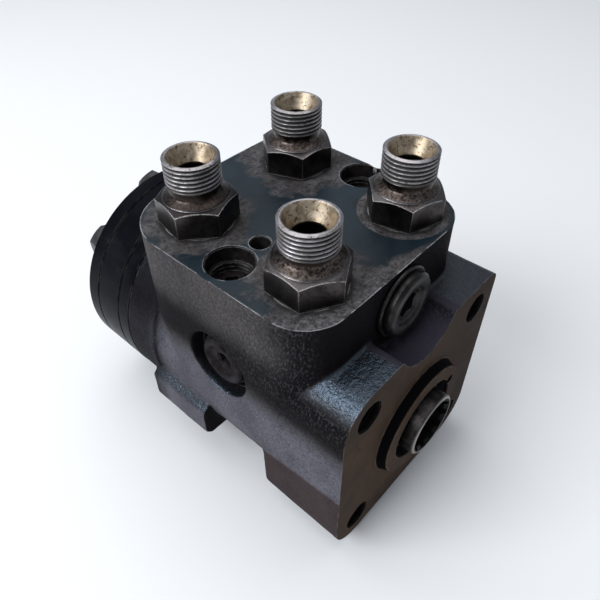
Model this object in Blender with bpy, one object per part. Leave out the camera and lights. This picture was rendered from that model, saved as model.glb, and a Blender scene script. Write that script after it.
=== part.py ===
"""Hydrostatic steering control unit with a gerotor metering section.

Metres, +Z up. The four port adapters point up, the mounting flange faces -Y and the
rear cover faces +Y. The origin is on the ground below the middle of the unit.
Stations are distances behind the flange face, and heights are above the spool axis.
"""

import math

import bmesh
import bpy
from mathutils import Matrix, Vector

# Driving dimensions -----------------------------------------------------------------

GAP = 0.0003                    # clearance kept between neighbouring pieces
AXIS_HEIGHT = 0.0423            # spool axis above the ground
PORT_FACE = 0.0585              # port face above the spool axis
FLANGE_TO_MIDDLE = 0.06405      # flange face to the middle of the unit's length

BODY_RADIUS = 0.0410            # cast barrel around the spool bore
BARREL_START = 0.0200
GEAR_SECTION_RADIUS = 0.0423    # rear collar, plates and cover
FLANGE_HALF_WIDTH = 0.0405
FLANGE_BOTTOM = -0.0395
EAR_TOP = 0.0395
EAR_CORNER_LEFT = 0.0125
EAR_CORNER_RIGHT = 0.0045
FLANGE_CORNER_BOTTOM = 0.0125
FLANGE_BLOCK_END = 0.034
NOTCH_RADIUS = 0.0155           # round notch between the ears, about the relief bore
LUG_START, LUG_END = 0.0605, 0.0905
LUG_LOW, LUG_HIGH = -0.0255, -0.0065
LUG_OUTER = 0.0440
FRONT_WALL = 0.0124             # front wall of the port block
PORT_BLOCK_END = 0.0940
PORT_BLOCK_RIGHT = 0.0385       # right wall of the port block, from the middle plane
PORT_BLOCK_LEFT = 0.0408
PORT_BLOCK_CORNERS = (0.0142, 0.0155, 0.0150, 0.0200)    # front left, front right, rear right, rear left
HOUSING_END = 0.1025
BOSS_RADIUS = 0.0206
BOSS_FOOT = 0.0222
BOSS_HEIGHT = 0.0033
FLANGE_HOLE_PITCH = 0.0825 / math.sqrt(2.0)     # square on an 82.5 mm bolt circle
FLANGE_HOLE_RADIUS = 0.00525
FLANGE_HOLE_DEPTH = 0.020

PORT_MIDDLE = 0.0512            # station of the middle of the port pattern
PORT_PITCH = 0.0453
PORT_THREAD = 0.0090            # M18 thread, radius
PORT_THREAD_DEPTH = 0.0135
PORT_DRILLING = 0.0050
PORT_RECESS = 0.0110            # seal recess round each port
PORT_RECESS_DEPTH = 0.0017

ADAPTER_FOOT = -0.0125          # adapter sizes along its axis, from the port face
ADAPTER_SEAT = 0.0003
ADAPTER_HEXAGON_TOP = 0.0092
ADAPTER_NECK_START = 0.0096
ADAPTER_NECK_END = 0.0139
ADAPTER_TOP = 0.0224
ADAPTER_HEXAGON = 0.0220
ADAPTER_NECK = 0.0077
ADAPTER_THREAD = 0.0088
ADAPTER_BORE = 0.0047
ADAPTER_CONE_MOUTH = 0.0071
HEXAGON_TURN = {"front_left": 29.0, "rear_left": 19.0, "front_right": 43.0, "rear_right": 51.0}

MAIN_BORE = 0.0193
SLEEVE_RADIUS = 0.0190
SPOOL_RADIUS = 0.0140
SPOOL_NECK = 0.0116
SPOOL_BORE = 0.0108
SPOOL_FRONT = -0.0071
SPOOL_SPLINE_END = 0.0120
SLEEVE_FRONT = 0.0152
SLEEVE_END = HOUSING_END - GAP
SPLINE_TEETH = 12

PLATE_END = 0.1090
RING_END = 0.1219
COVER_END = 0.1295
HEAD_END = 0.1352
BOLT_CIRCLE = 0.0333
BOLT_COUNT = 7
BOLT_RADIUS = 0.0040            # M8 cover bolts
BOLT_TIP = 0.0900
BOLT_HEAD_FLATS = 0.0130
BOLT_HEAD_HEIGHT = 0.0043

LOBE_COUNT = 7
LOBE_CENTRE = 0.0270
LOBE_RADIUS = 0.0068
ROTOR_CLEARANCE = 0.0005
ECCENTRICITY = 0.0026
RING_ROOT = 0.0259
ORBIT_START = math.radians(90.0)

PIN_STATION = 0.0340
PIN_RADIUS = 0.0035
PIN_HALF_LENGTH = 0.0186
SPOOL_PLAY = math.radians(10.0)
SHAFT_HEAD_MIDDLE = 0.1143

RELIEF_HEIGHT = 0.0460          # relief valve bore above the spool axis
SIDE_PLUG_STATION = 0.0517
SIDE_PLUG_HEIGHT = 0.0210
SIDE_SPOT_FACE = -0.0358        # floor of the round spot face in the left wall
SIDE_SPOT_RADIUS = 0.0126
SIDE_PLUG_FRONT = -0.0392
RELIEF_PLUG_FRONT = 0.0080
SHOCK_BORE_OFFSET = 0.0310
CHECK_BORE_OFFSET = -0.0188

ROUND = 28                      # sides of a large turned piece
FINE = 16                       # sides of a small turned piece


# Scene and mesh helpers -------------------------------------------------------------

def clear_scene():
    for item in list(bpy.data.objects):
        bpy.data.objects.remove(item, do_unlink=True)


def make_material(name, colour, roughness, metallic):
    material = bpy.data.materials.new(name)
    material.use_nodes = True
    shader = material.node_tree.nodes["Principled BSDF"]
    shader.inputs["Base Color"].default_value = (*colour, 1.0)
    shader.inputs["Roughness"].default_value = roughness
    shader.inputs["Metallic"].default_value = metallic
    return material


def make_empty(name, location):
    empty = bpy.data.objects.new(name, None)
    empty.location = location
    bpy.context.scene.collection.objects.link(empty)
    return empty


def make_object(name, mesh, parent, material=None, location=(0.0, 0.0, 0.0)):
    item = bpy.data.objects.new(name, mesh)
    item.parent = parent
    item.location = location
    bpy.context.scene.collection.objects.link(item)
    if material is not None and not mesh.materials:
        mesh.materials.append(material)
    return item


def finish_mesh(bm, name, smooth=True):
    """Turn a bmesh into a mesh with outward faces and smooth round sides."""
    bmesh.ops.remove_doubles(bm, verts=bm.verts, dist=1e-7)
    bmesh.ops.recalc_face_normals(bm, faces=bm.faces)
    mesh = bpy.data.meshes.new(name)
    bm.to_mesh(mesh)
    bm.free()
    if smooth:
        mesh.shade_smooth()
        mesh.set_sharp_from_angle(angle=math.radians(32.0))
    return mesh


def axis_point(axis, along, radius):
    """A point on a turning profile for a turning axis named X, Y or Z."""
    return {"X": (along, 0.0, radius), "Y": (radius, along, 0.0), "Z": (radius, 0.0, along)}[axis]


def turned(name, axis, profile, segments=ROUND, hollow=True):
    """Spin (position along the axis, radius) points; a solid profile gets its end discs."""
    bm = bmesh.new()
    verts = [bm.verts.new(axis_point(axis, along, radius)) for along, radius in profile]
    edges = [bm.edges.new(pair) for pair in zip(verts, verts[1:])]
    if hollow:
        edges.append(bm.edges.new((verts[-1], verts[0])))
    direction = axis_point(axis, 1.0, 0.0)
    bmesh.ops.spin(bm, geom=verts + edges, cent=(0.0, 0.0, 0.0), axis=direction,
                   steps=segments, angle=math.tau, use_merge=True)
    bmesh.ops.remove_doubles(bm, verts=bm.verts, dist=1e-7)
    if not hollow:
        bmesh.ops.holes_fill(bm, edges=[edge for edge in bm.edges if edge.is_boundary])
    return finish_mesh(bm, name)


def tube(name, axis, start, end, outer, inner, segments=ROUND):
    return turned(name, axis, [(start, outer), (end, outer), (end, inner), (start, inner)], segments)


def rod(name, axis, start, end, radius, segments=FINE):
    return turned(name, axis, [(start, radius), (end, radius)], segments, hollow=False)


def prism(name, axis, outline, start, end, smooth=True):
    """Extrude a plane outline: (x, z) points along Y, or (x, y) points along Z."""
    bm = bmesh.new()
    if axis == "Y":
        verts = [bm.verts.new((x, start, z)) for x, z in outline]
        shift = Vector((0.0, end - start, 0.0))
    else:
        verts = [bm.verts.new((x, y, start)) for x, y in outline]
        shift = Vector((0.0, 0.0, end - start))
    face = bm.faces.new(verts)
    grown = bmesh.ops.extrude_face_region(bm, geom=[face])
    moved = [item for item in grown["geom"] if isinstance(item, bmesh.types.BMVert)]
    bmesh.ops.translate(bm, verts=moved, vec=shift)
    return finish_mesh(bm, name, smooth)


def box(name, low, high):
    bm = bmesh.new()
    middle = (Vector(low) + Vector(high)) / 2.0
    size = Vector(high) - Vector(low)
    frame = Matrix.Translation(middle) @ Matrix.Diagonal((*size, 1.0))
    bmesh.ops.create_cube(bm, size=1.0, matrix=frame)
    return finish_mesh(bm, name, smooth=False)


def arc(centre, radius, start, end, steps):
    """Points along an arc, both ends included; angles in degrees."""
    points = []
    for step in range(steps + 1):
        angle = math.radians(start + (end - start) * step / steps)
        points.append((centre[0] + radius * math.cos(angle), centre[1] + radius * math.sin(angle)))
    return points


def hexagon(flats):
    corner = flats / math.sqrt(3.0)
    return [(corner * math.cos(math.radians(60.0 * side)), corner * math.sin(math.radians(60.0 * side)))
            for side in range(6)]


def moved_mesh(mesh, matrix):
    mesh.transform(matrix)
    return mesh


def merged(name, meshes):
    """Put separate shapes that don't touch in one mesh, for use as a cutter."""
    bm = bmesh.new()
    for mesh in meshes:
        bm.from_mesh(mesh)
    return finish_mesh(bm, name)


def combine(target, operation, name, mesh):
    """Add a Boolean modifier whose operand is a hidden guide object."""
    guide = make_object(name, mesh, target.parent, location=target.location)
    guide.hide_render = True
    guide.display_type = "WIRE"
    modifier = target.modifiers.new(name, "BOOLEAN")
    modifier.operation = operation
    modifier.solver = "EXACT"
    modifier.object = guide


def cut(target, name, mesh):
    combine(target, "DIFFERENCE", name, mesh)


def add(target, name, mesh):
    combine(target, "UNION", name, mesh)


# Housing ----------------------------------------------------------------------------

def port_block_outline():
    """Plan of the port block seen from above, a block with four different round corners."""
    front, rear = FRONT_WALL, PORT_BLOCK_END
    left, right = -PORT_BLOCK_LEFT, PORT_BLOCK_RIGHT
    front_left, front_right, rear_right, rear_left = PORT_BLOCK_CORNERS
    outline = arc((right - front_right, front + front_right), front_right, -90.0, 0.0, 5)
    outline += arc((right - rear_right, rear - rear_right), rear_right, 0.0, 90.0, 5)
    outline += arc((left + rear_left, rear - rear_left), rear_left, 90.0, 180.0, 6)
    outline += arc((left + front_left, front + front_left), front_left, 180.0, 270.0, 5)
    return outline


def flange_outline():
    """Front view of the mounting flange, with the round notch between its two ears."""
    half, top, low = FLANGE_HALF_WIDTH, EAR_TOP, FLANGE_BOTTOM
    corner = FLANGE_CORNER_BOTTOM
    reach = math.degrees(math.asin((top - RELIEF_HEIGHT) / NOTCH_RADIUS))
    points = arc((-half + corner, low + corner), corner, 180.0, 270.0, 5)
    points += arc((half - corner, low + corner), corner, -90.0, 0.0, 5)
    points += arc((half - EAR_CORNER_RIGHT, top - EAR_CORNER_RIGHT), EAR_CORNER_RIGHT, 0.0, 90.0, 4)
    points += arc((0.0, RELIEF_HEIGHT), NOTCH_RADIUS, reach, -180.0 - reach, 10)
    points += arc((-half + EAR_CORNER_LEFT, top - EAR_CORNER_LEFT), EAR_CORNER_LEFT, 90.0, 180.0, 7)
    return points


def bevelled(mesh, width, segments=1, limit=60.0):
    """Round the sharp edges of a simple mesh."""
    bm = bmesh.new()
    bm.from_mesh(mesh)
    sharp = [edge for edge in bm.edges
             if len(edge.link_faces) == 2 and edge.calc_face_angle() > math.radians(limit)]
    bmesh.ops.bevel(bm, geom=sharp, offset=width, segments=segments, profile=0.5,
                    affect="EDGES", clamp_overlap=True)
    bm.to_mesh(mesh)
    bm.free()
    return mesh


def housing_bore_profile():
    """Profile of the main bore: seal seat, neck opening, seal pocket, bearing and sleeve bore."""
    return [(-BOSS_HEIGHT - 0.001, 0.0145), (0.0026, 0.0145), (0.0026, 0.0121), (0.0040, 0.0121),
            (0.0040, 0.0170), (0.0085, 0.0170), (0.0085, MAIN_BORE), (HOUSING_END + 0.001, MAIN_BORE)]


def port_positions():
    half = PORT_PITCH / 2.0
    return {"front_left": (-half, PORT_MIDDLE - half), "rear_left": (-half, PORT_MIDDLE + half),
            "front_right": (half, PORT_MIDDLE - half), "rear_right": (half, PORT_MIDDLE + half)}


def bolt_positions():
    """(x, z) of the cover bolts, the first one straight above the spool axis."""
    angles = [math.pi / 2.0 + math.tau * index / BOLT_COUNT for index in range(BOLT_COUNT)]
    return [(BOLT_CIRCLE * math.cos(angle), BOLT_CIRCLE * math.sin(angle)) for angle in angles]


def port_hole():
    """Threaded port with a shallow seal recess, opening into the main bore."""
    top = PORT_FACE
    recess, floor = top - PORT_RECESS_DEPTH, top - PORT_THREAD_DEPTH
    profile = [(top + 0.001, PORT_RECESS), (recess, PORT_RECESS), (recess, PORT_THREAD),
               (floor, PORT_THREAD), (floor, PORT_DRILLING), (-0.002, PORT_DRILLING)]
    return turned("port_hole", "Z", profile, FINE, hollow=False)


def shock_bore():
    """Stepped well: clearance, thread for the screw plug, spring and ball chamber."""
    top = PORT_FACE
    profile = [(top + 0.001, 0.0074), (top - 0.006, 0.0074), (top - 0.006, 0.0068), (top - 0.014, 0.0068),
               (top - 0.014, 0.0042), (top - 0.027, 0.0042)]
    return turned("shock_bore", "Z", profile, FINE, hollow=False)


def relief_bore():
    """Stepped bore: thread for the screw plug, then the spring and poppet chamber."""
    profile = [(FRONT_WALL - 0.001, 0.0090), (0.0240, 0.0090), (0.0240, 0.0060), (0.0490, 0.0060)]
    return turned("relief_bore", "Y", profile, FINE, hollow=False)


def side_recess():
    """Round spot face in the left wall with the threaded hole behind it."""
    profile = [(-0.046, SIDE_SPOT_RADIUS), (SIDE_SPOT_FACE, SIDE_SPOT_RADIUS),
               (SIDE_SPOT_FACE, 0.0060), (-0.0220, 0.0060)]
    return turned("side_recess", "X", profile, FINE, hollow=False)


def build_housing(frame, material):
    block = prism("valve_housing", "Z", port_block_outline(), -0.004, PORT_FACE)
    housing = make_object("valve_housing", bevelled(block, 0.0007), frame, material)
    add(housing, "guide_barrel", rod("guide_barrel", "Y", BARREL_START, PORT_BLOCK_END, BODY_RADIUS, ROUND))
    add(housing, "guide_flange", prism("guide_flange", "Y", flange_outline(), 0.0, FLANGE_BLOCK_END))
    collar = [(PORT_BLOCK_END - 0.008, BODY_RADIUS - 0.0005), (PORT_BLOCK_END - 0.006, GEAR_SECTION_RADIUS),
              (HOUSING_END, GEAR_SECTION_RADIUS)]
    add(housing, "guide_collar", turned("guide_collar", "Y", collar, 36, hollow=False))
    boss = [(0.001, BOSS_FOOT), (0.0, BOSS_FOOT), (0.0005 - BOSS_HEIGHT, BOSS_RADIUS + 0.0004),
            (-BOSS_HEIGHT, BOSS_RADIUS)]
    add(housing, "guide_boss", turned("guide_boss", "Y", boss, ROUND, hollow=False))
    for side, name in ((-1.0, "guide_lug_left"), (1.0, "guide_lug_right")):
        near, far = sorted((side * 0.030, side * LUG_OUTER))
        lug = box(name, (near, LUG_START, LUG_LOW), (far, LUG_END, LUG_HIGH))
        add(housing, name, bevelled(lug, 0.0030, segments=2))
    main_bore = turned("cutter_main_bore", "Y", housing_bore_profile(), ROUND, hollow=False)
    cut(housing, "cutter_main_bore", main_bore)
    ports = [moved_mesh(port_hole(), Matrix.Translation((x, station, 0.0)))
             for x, station in port_positions().values()]
    cut(housing, "cutter_ports", merged("cutter_ports", ports))
    wells = [moved_mesh(shock_bore(), Matrix.Translation((side * SHOCK_BORE_OFFSET, PORT_MIDDLE, 0.0)))
             for side in (-1.0, 1.0)]
    check = rod("check_bore", "Z", PORT_FACE - 0.018, PORT_FACE + 0.001, 0.0031, 16)
    wells.append(moved_mesh(check, Matrix.Translation((CHECK_BORE_OFFSET, PORT_MIDDLE, 0.0))))
    cut(housing, "cutter_valve_wells", merged("cutter_valve_wells", wells))
    cut(housing, "cutter_relief", moved_mesh(relief_bore(), Matrix.Translation((0.0, 0.0, RELIEF_HEIGHT))))
    side_place = Matrix.Translation((0.0, SIDE_PLUG_STATION, SIDE_PLUG_HEIGHT))
    cut(housing, "cutter_side", moved_mesh(side_recess(), side_place))
    half = FLANGE_HOLE_PITCH / 2.0
    screws = []
    for x, z in ((-half, -half), (half, -half), (-half, half), (half, half)):
        hole = rod("flange_hole", "Y", -0.001, FLANGE_HOLE_DEPTH, FLANGE_HOLE_RADIUS, 14)
        screws.append(moved_mesh(hole, Matrix.Translation((x, 0.0, z))))
    dowel = rod("dowel_hole", "Y", -BOSS_HEIGHT - 0.001, 0.002, 0.0018, 10)
    screws.append(moved_mesh(dowel, Matrix.Translation((0.0146, 0.0, 0.0080))))
    cut(housing, "cutter_flange_holes", merged("cutter_flange_holes", screws))
    bolts = [moved_mesh(rod("bolt_hole", "Y", BOLT_TIP - 0.002, HOUSING_END + 0.001, BOLT_RADIUS + GAP, 10),
                        Matrix.Translation((x, 0.0, z))) for x, z in bolt_positions()]
    cut(housing, "cutter_bolt_holes", merged("cutter_bolt_holes", bolts))


# Spool group ------------------------------------------------------------------------

def spline_outline(inner, outer, teeth):
    """Straight-sided spline outline, its teeth as wide as its gaps."""
    points = []
    pitch = math.tau / teeth
    for tooth in range(teeth):
        for radius, share in ((inner, -0.22), (inner, 0.22), (outer, 0.30), (outer, 0.70)):
            angle = pitch * (tooth + share)
            points.append((radius * math.cos(angle), radius * math.sin(angle)))
    return points


def fan_slot(start, end, half_height, play, reach):
    """A slot straight through the axis along X, opened by a swing of plus or minus play."""
    spread = reach * math.sin(play)
    outline = [(-reach, -half_height - spread), (0.0, -half_height), (reach, -half_height - spread),
               (reach, half_height + spread), (0.0, half_height), (-reach, half_height + spread)]
    return prism("fan_slot", "Y", outline, start, end, smooth=False)


def build_spool(frame, material):
    front, chamfer = SPOOL_FRONT, 0.0007
    profile = [(front, SPOOL_NECK - chamfer), (front + chamfer, SPOOL_NECK), (SLEEVE_FRONT, SPOOL_NECK),
               (SLEEVE_FRONT, SPOOL_RADIUS), (SLEEVE_END, SPOOL_RADIUS)]
    body = turned("control_spool", "Y", profile, ROUND, hollow=False)
    spool = make_object("control_spool", body, frame, material)
    splines = spline_outline(0.0092, 0.0104, SPLINE_TEETH)
    cut(spool, "cutter_spline", prism("cutter_spline", "Y", splines, front - 0.001, SPOOL_SPLINE_END))
    bore = rod("cutter_spool_bore", "Y", SPOOL_SPLINE_END - 0.0005, SLEEVE_END + 0.001, SPOOL_BORE, FINE)
    cut(spool, "cutter_spool_bore", bore)
    pin_slot = fan_slot(PIN_STATION - PIN_RADIUS - 0.0006, PIN_STATION + PIN_RADIUS + 0.0006,
                        PIN_RADIUS + 0.0006, SPOOL_PLAY, 0.0150)
    cut(spool, "cutter_pin_slot", pin_slot)
    spring_slot = fan_slot(0.0170, 0.0240, 0.0024, SPOOL_PLAY, 0.0150)
    cut(spool, "cutter_spool_spring_slot", spring_slot)
    grooves = []
    for index in range(6):
        groove = box("spool_groove", (-0.0014, 0.0500, SPOOL_RADIUS - 0.0012),
                     (0.0014, 0.0900, SPOOL_RADIUS + 0.001))
        grooves.append(moved_mesh(groove, Matrix.Rotation(math.tau * (index + 0.5) / 6.0, 4, "Y")))
    cut(spool, "cutter_spool_grooves", merged("cutter_spool_grooves", grooves))


def build_sleeve(frame, material):
    outer, inner = SLEEVE_RADIUS, SPOOL_RADIUS + GAP
    profile = [(SLEEVE_FRONT, inner), (SLEEVE_FRONT, outer)]
    for station in (0.050, 0.082):
        profile += [(station, outer), (station, outer - 0.0012),
                    (station + 0.005, outer - 0.0012), (station + 0.005, outer)]
    profile += [(SLEEVE_END, outer), (SLEEVE_END, inner)]
    sleeve = make_object("control_sleeve", turned("control_sleeve", "Y", profile, 24), frame, material)
    reach = outer + 0.001
    pin_hole = rod("cutter_pin_hole", "X", -reach, reach, PIN_RADIUS + GAP)
    cut(sleeve, "cutter_pin_hole", moved_mesh(pin_hole, Matrix.Translation((0.0, PIN_STATION, 0.0))))
    cut(sleeve, "cutter_sleeve_spring_slot", box("cutter_sleeve_spring_slot", (-reach, 0.0170, -0.0024),
                                                 (reach, 0.0240, 0.0024)))
    holes = []
    for index in range(6):
        hole = rod("sleeve_hole", "Z", inner - 0.002, outer + 0.001, 0.0017, 8)
        turn = Matrix.Rotation(math.tau * (index + 0.5) / 6.0, 4, "Y")
        holes.append(moved_mesh(hole, turn @ Matrix.Translation((0.0, 0.0700, 0.0))))
    cut(sleeve, "cutter_sleeve_holes", merged("cutter_sleeve_holes", holes))


def build_cross_pin(frame, material):
    length, chamfer = PIN_HALF_LENGTH, 0.0005
    profile = [(-length, PIN_RADIUS - chamfer), (-length + chamfer, PIN_RADIUS),
               (length - chamfer, PIN_RADIUS), (length, PIN_RADIUS - chamfer)]
    mesh = turned("cross_pin", "X", profile, 16, hollow=False)
    make_object("cross_pin", mesh, frame, material, location=(0.0, PIN_STATION, 0.0))


def leaf_outline(side, thickness, steps=8):
    """Side view of an arched leaf pack; side is +1 above the axis and -1 below it."""
    reach, rise = 0.0180, 0.0006
    upper = []
    lower = []
    for step in range(steps + 1):
        x = -reach + 2.0 * reach * step / steps
        arch = rise * (x / reach) ** 2
        lower.append((x, side * (0.00018 + arch)))
        upper.append((x, side * (0.00018 + arch + thickness)))
    return lower + upper[::-1]


def build_centering_springs(frame, material):
    for name, side in (("centering_spring_upper", 1.0), ("centering_spring_lower", -1.0)):
        mesh = prism(name, "Y", leaf_outline(side, 0.0012), 0.0175, 0.0235)
        make_object(name, mesh, frame, material)


# Gerotor group ----------------------------------------------------------------------

def rotor_outline(points_per_lobe=12):
    """Rotor shape conjugate to the ring's round lobes, one gap pointing along +x."""
    radius = LOBE_RADIUS + ROTOR_CLEARANCE
    lobes = LOBE_COUNT
    outline = []
    total = (lobes - 1) * points_per_lobe
    for step in range(total):
        t = math.tau * step / total
        lean = math.atan2(math.sin((1 - lobes) * t),
                          LOBE_CENTRE / (ECCENTRICITY * lobes) - math.cos((1 - lobes) * t))
        x = LOBE_CENTRE * math.cos(t) - radius * math.cos(t + lean) - ECCENTRICITY * math.cos(lobes * t)
        y = -LOBE_CENTRE * math.sin(t) + radius * math.sin(t + lean) + ECCENTRICITY * math.sin(lobes * t)
        outline.append((x, y))
    return outline


def ring_outline(arc_steps=8, root_steps=2):
    """Inside of the gerotor ring: round lobes joined by arcs of the root circle."""
    meet = (LOBE_CENTRE ** 2 + RING_ROOT ** 2 - LOBE_RADIUS ** 2) / (2.0 * LOBE_CENTRE * RING_ROOT)
    half = math.acos(meet)
    pitch = math.tau / LOBE_COUNT
    outline = []
    for lobe in range(LOBE_COUNT):
        middle = math.pi / 2.0 + pitch * lobe
        centre = (LOBE_CENTRE * math.cos(middle), LOBE_CENTRE * math.sin(middle))
        first = (RING_ROOT * math.cos(middle - half), RING_ROOT * math.sin(middle - half))
        start = math.atan2(first[1] - centre[1], first[0] - centre[0])
        inward = middle + math.pi
        swing = (inward - start) % math.tau
        if swing > math.pi:
            swing -= math.tau
        for step in range(arc_steps + 1):
            angle = start + 2.0 * swing * step / arc_steps
            outline.append((centre[0] + LOBE_RADIUS * math.cos(angle),
                            centre[1] + LOBE_RADIUS * math.sin(angle)))
        for step in range(1, root_steps):
            angle = middle + half + (pitch - 2.0 * half) * step / root_steps
            outline.append((RING_ROOT * math.cos(angle), RING_ROOT * math.sin(angle)))
    return outline


def turned_outline(outline, turn):
    cosine, sine = math.cos(turn), math.sin(turn)
    return [(x * cosine - z * sine, x * sine + z * cosine) for x, z in outline]


def bolt_holes(start, end):
    return [moved_mesh(rod("bolt_hole", "Y", start - 0.001, end + 0.001, BOLT_RADIUS + GAP, 10),
                       Matrix.Translation((x, 0.0, z))) for x, z in bolt_positions()]


def seal_groove(start, end):
    return tube("seal_groove", "Y", start, end, 0.0286, 0.0270, 20)


def build_distributor_plate(frame, material):
    start, end = HOUSING_END + GAP, PLATE_END
    plate = make_object("distributor_plate", tube("distributor_plate", "Y", start, end,
                                                  GEAR_SECTION_RADIUS, 0.0112, 36), frame, material)
    cutters = bolt_holes(start, end)
    cutters.append(seal_groove(start - 0.001, start + 0.0014))
    cutters.append(seal_groove(end - 0.0014, end + 0.001))
    for index in range(LOBE_COUNT):
        angle = math.pi / 2.0 + math.tau * (index + 0.5) / LOBE_COUNT
        port = rod("oil_port", "Y", start - 0.001, end + 0.001, 0.0030, 8)
        place = Matrix.Translation((0.0215 * math.cos(angle), 0.0, 0.0215 * math.sin(angle)))
        cutters.append(moved_mesh(port, place))
    cut(plate, "cutter_plate", merged("cutter_plate", cutters))


def build_gerotor_ring(frame, material):
    start, end = PLATE_END + GAP, RING_END
    disc = rod("gerotor_ring", "Y", start, end, GEAR_SECTION_RADIUS, 36)
    ring = make_object("gerotor_ring", disc, frame, material)
    inside = prism("cutter_ring", "Y", ring_outline(), start - 0.001, end + 0.001)
    cut(ring, "cutter_ring", merged("cutter_ring", [inside] + bolt_holes(start, end)))


def orbit_offset():
    return Vector((ECCENTRICITY * math.cos(ORBIT_START), 0.0, ECCENTRICITY * math.sin(ORBIT_START)))


def build_gerotor_rotor(frame, material):
    start, end = PLATE_END + 2.0 * GAP, RING_END - GAP
    outline = turned_outline(rotor_outline(), ORBIT_START)
    rotor = make_object("gerotor_rotor", prism("gerotor_rotor", "Y", outline, start, end), frame, material,
                        location=orbit_offset())
    splines = spline_outline(0.0096, 0.0110, SPLINE_TEETH)
    cut(rotor, "cutter_rotor_spline", prism("cutter_rotor_spline", "Y", splines, start - 0.001, end + 0.001))


def build_drive_spacer(frame, material):
    start = 0.1192
    mesh = turned("drive_spacer", "Y", [(start, 0.0083), (start + 0.0004, 0.0087), (RING_END - GAP, 0.0087)],
                  FINE, hollow=False)
    make_object("drive_spacer", mesh, frame, material, location=orbit_offset())


def shaft_tilt():
    """Rotation that leans the drive shaft from the cross pin to the rotor's middle."""
    lean = math.atan2(ECCENTRICITY, SHAFT_HEAD_MIDDLE - PIN_STATION)
    turn_axis = Vector((math.sin(ORBIT_START), 0.0, -math.cos(ORBIT_START)))
    return Matrix.Rotation(lean, 4, turn_axis)


def shaft_tooth_outline():
    """Teeth of the drive shaft head, slimmer than the rotor's gaps by the running clearance."""
    points = []
    pitch = math.tau / SPLINE_TEETH
    for tooth in range(SPLINE_TEETH):
        for radius, share in ((0.0077, 0.31), (0.0103, 0.40), (0.0103, 0.60), (0.0077, 0.69)):
            angle = pitch * (tooth + share)
            points.append((radius * math.cos(angle), radius * math.sin(angle)))
    return points


def build_drive_shaft(frame, material):
    """Shaft that ties the sleeve's pin to the rotor; its origin is the middle of the pin."""
    head = SHAFT_HEAD_MIDDLE - PIN_STATION
    profile = [(-0.0060, 0.0078), (-0.0052, 0.0085), (0.0100, 0.0085), (0.0125, 0.0060),
               (head - 0.0060, 0.0060), (head - 0.0042, 0.0078), (head + 0.0043, 0.0078)]
    body = turned("drive_shaft", "Y", profile, FINE, hollow=False)
    shaft = make_object("drive_shaft", body, frame, material, location=(0.0, PIN_STATION, 0.0))
    teeth = prism("guide_shaft_teeth", "Y", shaft_tooth_outline(), head - 0.0040, head + 0.0040)
    add(shaft, "guide_shaft_teeth", teeth)
    slot = box("cutter_fork", (-0.010, -0.0080, -PIN_RADIUS - 0.0007), (0.010, 0.0050, PIN_RADIUS + 0.0007))
    cut(shaft, "cutter_fork", slot)
    for item in (shaft, bpy.data.objects["guide_shaft_teeth"], bpy.data.objects["cutter_fork"]):
        item.rotation_mode = "QUATERNION"
        item.rotation_quaternion = shaft_tilt().to_quaternion()


def build_end_cover(frame, material):
    start, end, chamfer = RING_END + GAP, COVER_END, 0.0012
    profile = [(start, GEAR_SECTION_RADIUS), (end - chamfer, GEAR_SECTION_RADIUS),
               (end, GEAR_SECTION_RADIUS - chamfer)]
    cover = make_object("end_cover", turned("end_cover", "Y", profile, 36, hollow=False), frame, material)
    cutters = bolt_holes(start, end)
    cutters.append(seal_groove(start - 0.001, start + 0.0014))
    cut(cover, "cutter_cover", merged("cutter_cover", cutters))


def bolt_mesh():
    """Hexagon head bolt along +Y, its head's rear face at the head end station."""
    head_start = HEAD_END - BOLT_HEAD_HEIGHT
    shank = rod("bolt_shank", "Y", BOLT_TIP, head_start + 0.001, BOLT_RADIUS, 10)
    head = prism("bolt_head", "Y", hexagon(BOLT_HEAD_FLATS), head_start, HEAD_END, smooth=False)
    return shank, head


def build_cover_bolts(frame, bolt_material, washer_material):
    washer_start = COVER_END + GAP
    for index, (x, z) in enumerate(bolt_positions(), start=1):
        shank, head = bolt_mesh()
        place = (x, 0.0, z)
        bolt = make_object(f"cover_bolt_{index}", shank, frame, bolt_material, location=place)
        add(bolt, f"guide_bolt_head_{index}", head)
        ring = tube("bolt_washer", "Y", washer_start, washer_start + 0.0010, 0.0074, BOLT_RADIUS + GAP, 14)
        make_object(f"bolt_washer_{index}", ring, frame, washer_material, location=place)


def build_seal_rings(frame, material):
    """Three O-rings, each in a groove of a plate face, with a four-sided section."""
    section = 0.00055
    stations = {"housing_o_ring": HOUSING_END + GAP + section + 0.00001,
                "ring_o_ring": PLATE_END - section - 0.00001,
                "cover_o_ring": RING_END + GAP + section + 0.00001}
    for name, station in stations.items():
        profile = [(station + section * math.sin(math.tau * side / 4.0),
                    0.0278 + section * math.cos(math.tau * side / 4.0)) for side in range(4)]
        make_object(name, turned(name, "Y", profile, 20), frame, material)


# Front seals and bearing ------------------------------------------------------------

def build_front_seals(frame, rubber):
    dust = [(0.0002, 0.0120), (0.0002, 0.0141), (0.0022, 0.0141), (0.0022, 0.0126)]
    make_object("dust_seal", turned("dust_seal", "Y", dust, 24), frame, rubber)
    shaft = [(0.0044, 0.0120), (0.0044, 0.0166), (0.0081, 0.0166), (0.0081, 0.0128), (0.0060, 0.0128)]
    make_object("shaft_seal", turned("shaft_seal", "Y", shaft, 24), frame, rubber)


def build_thrust_bearing(frame, steel):
    """Two races with the needle cage between them, around the spool's neck."""
    layers = {"bearing_race_outer": (0.0089, 0.0104, 0.0188, 0.0122),
              "needle_cage": (0.0107, 0.0131, 0.0184, 0.0126),
              "bearing_race_inner": (0.0134, 0.0149, 0.0188, 0.0122)}
    for name, (start, end, outer, inner) in layers.items():
        make_object(name, tube(name, "Y", start, end, outer, inner, 20), frame, steel)


# Port side --------------------------------------------------------------------------

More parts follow.
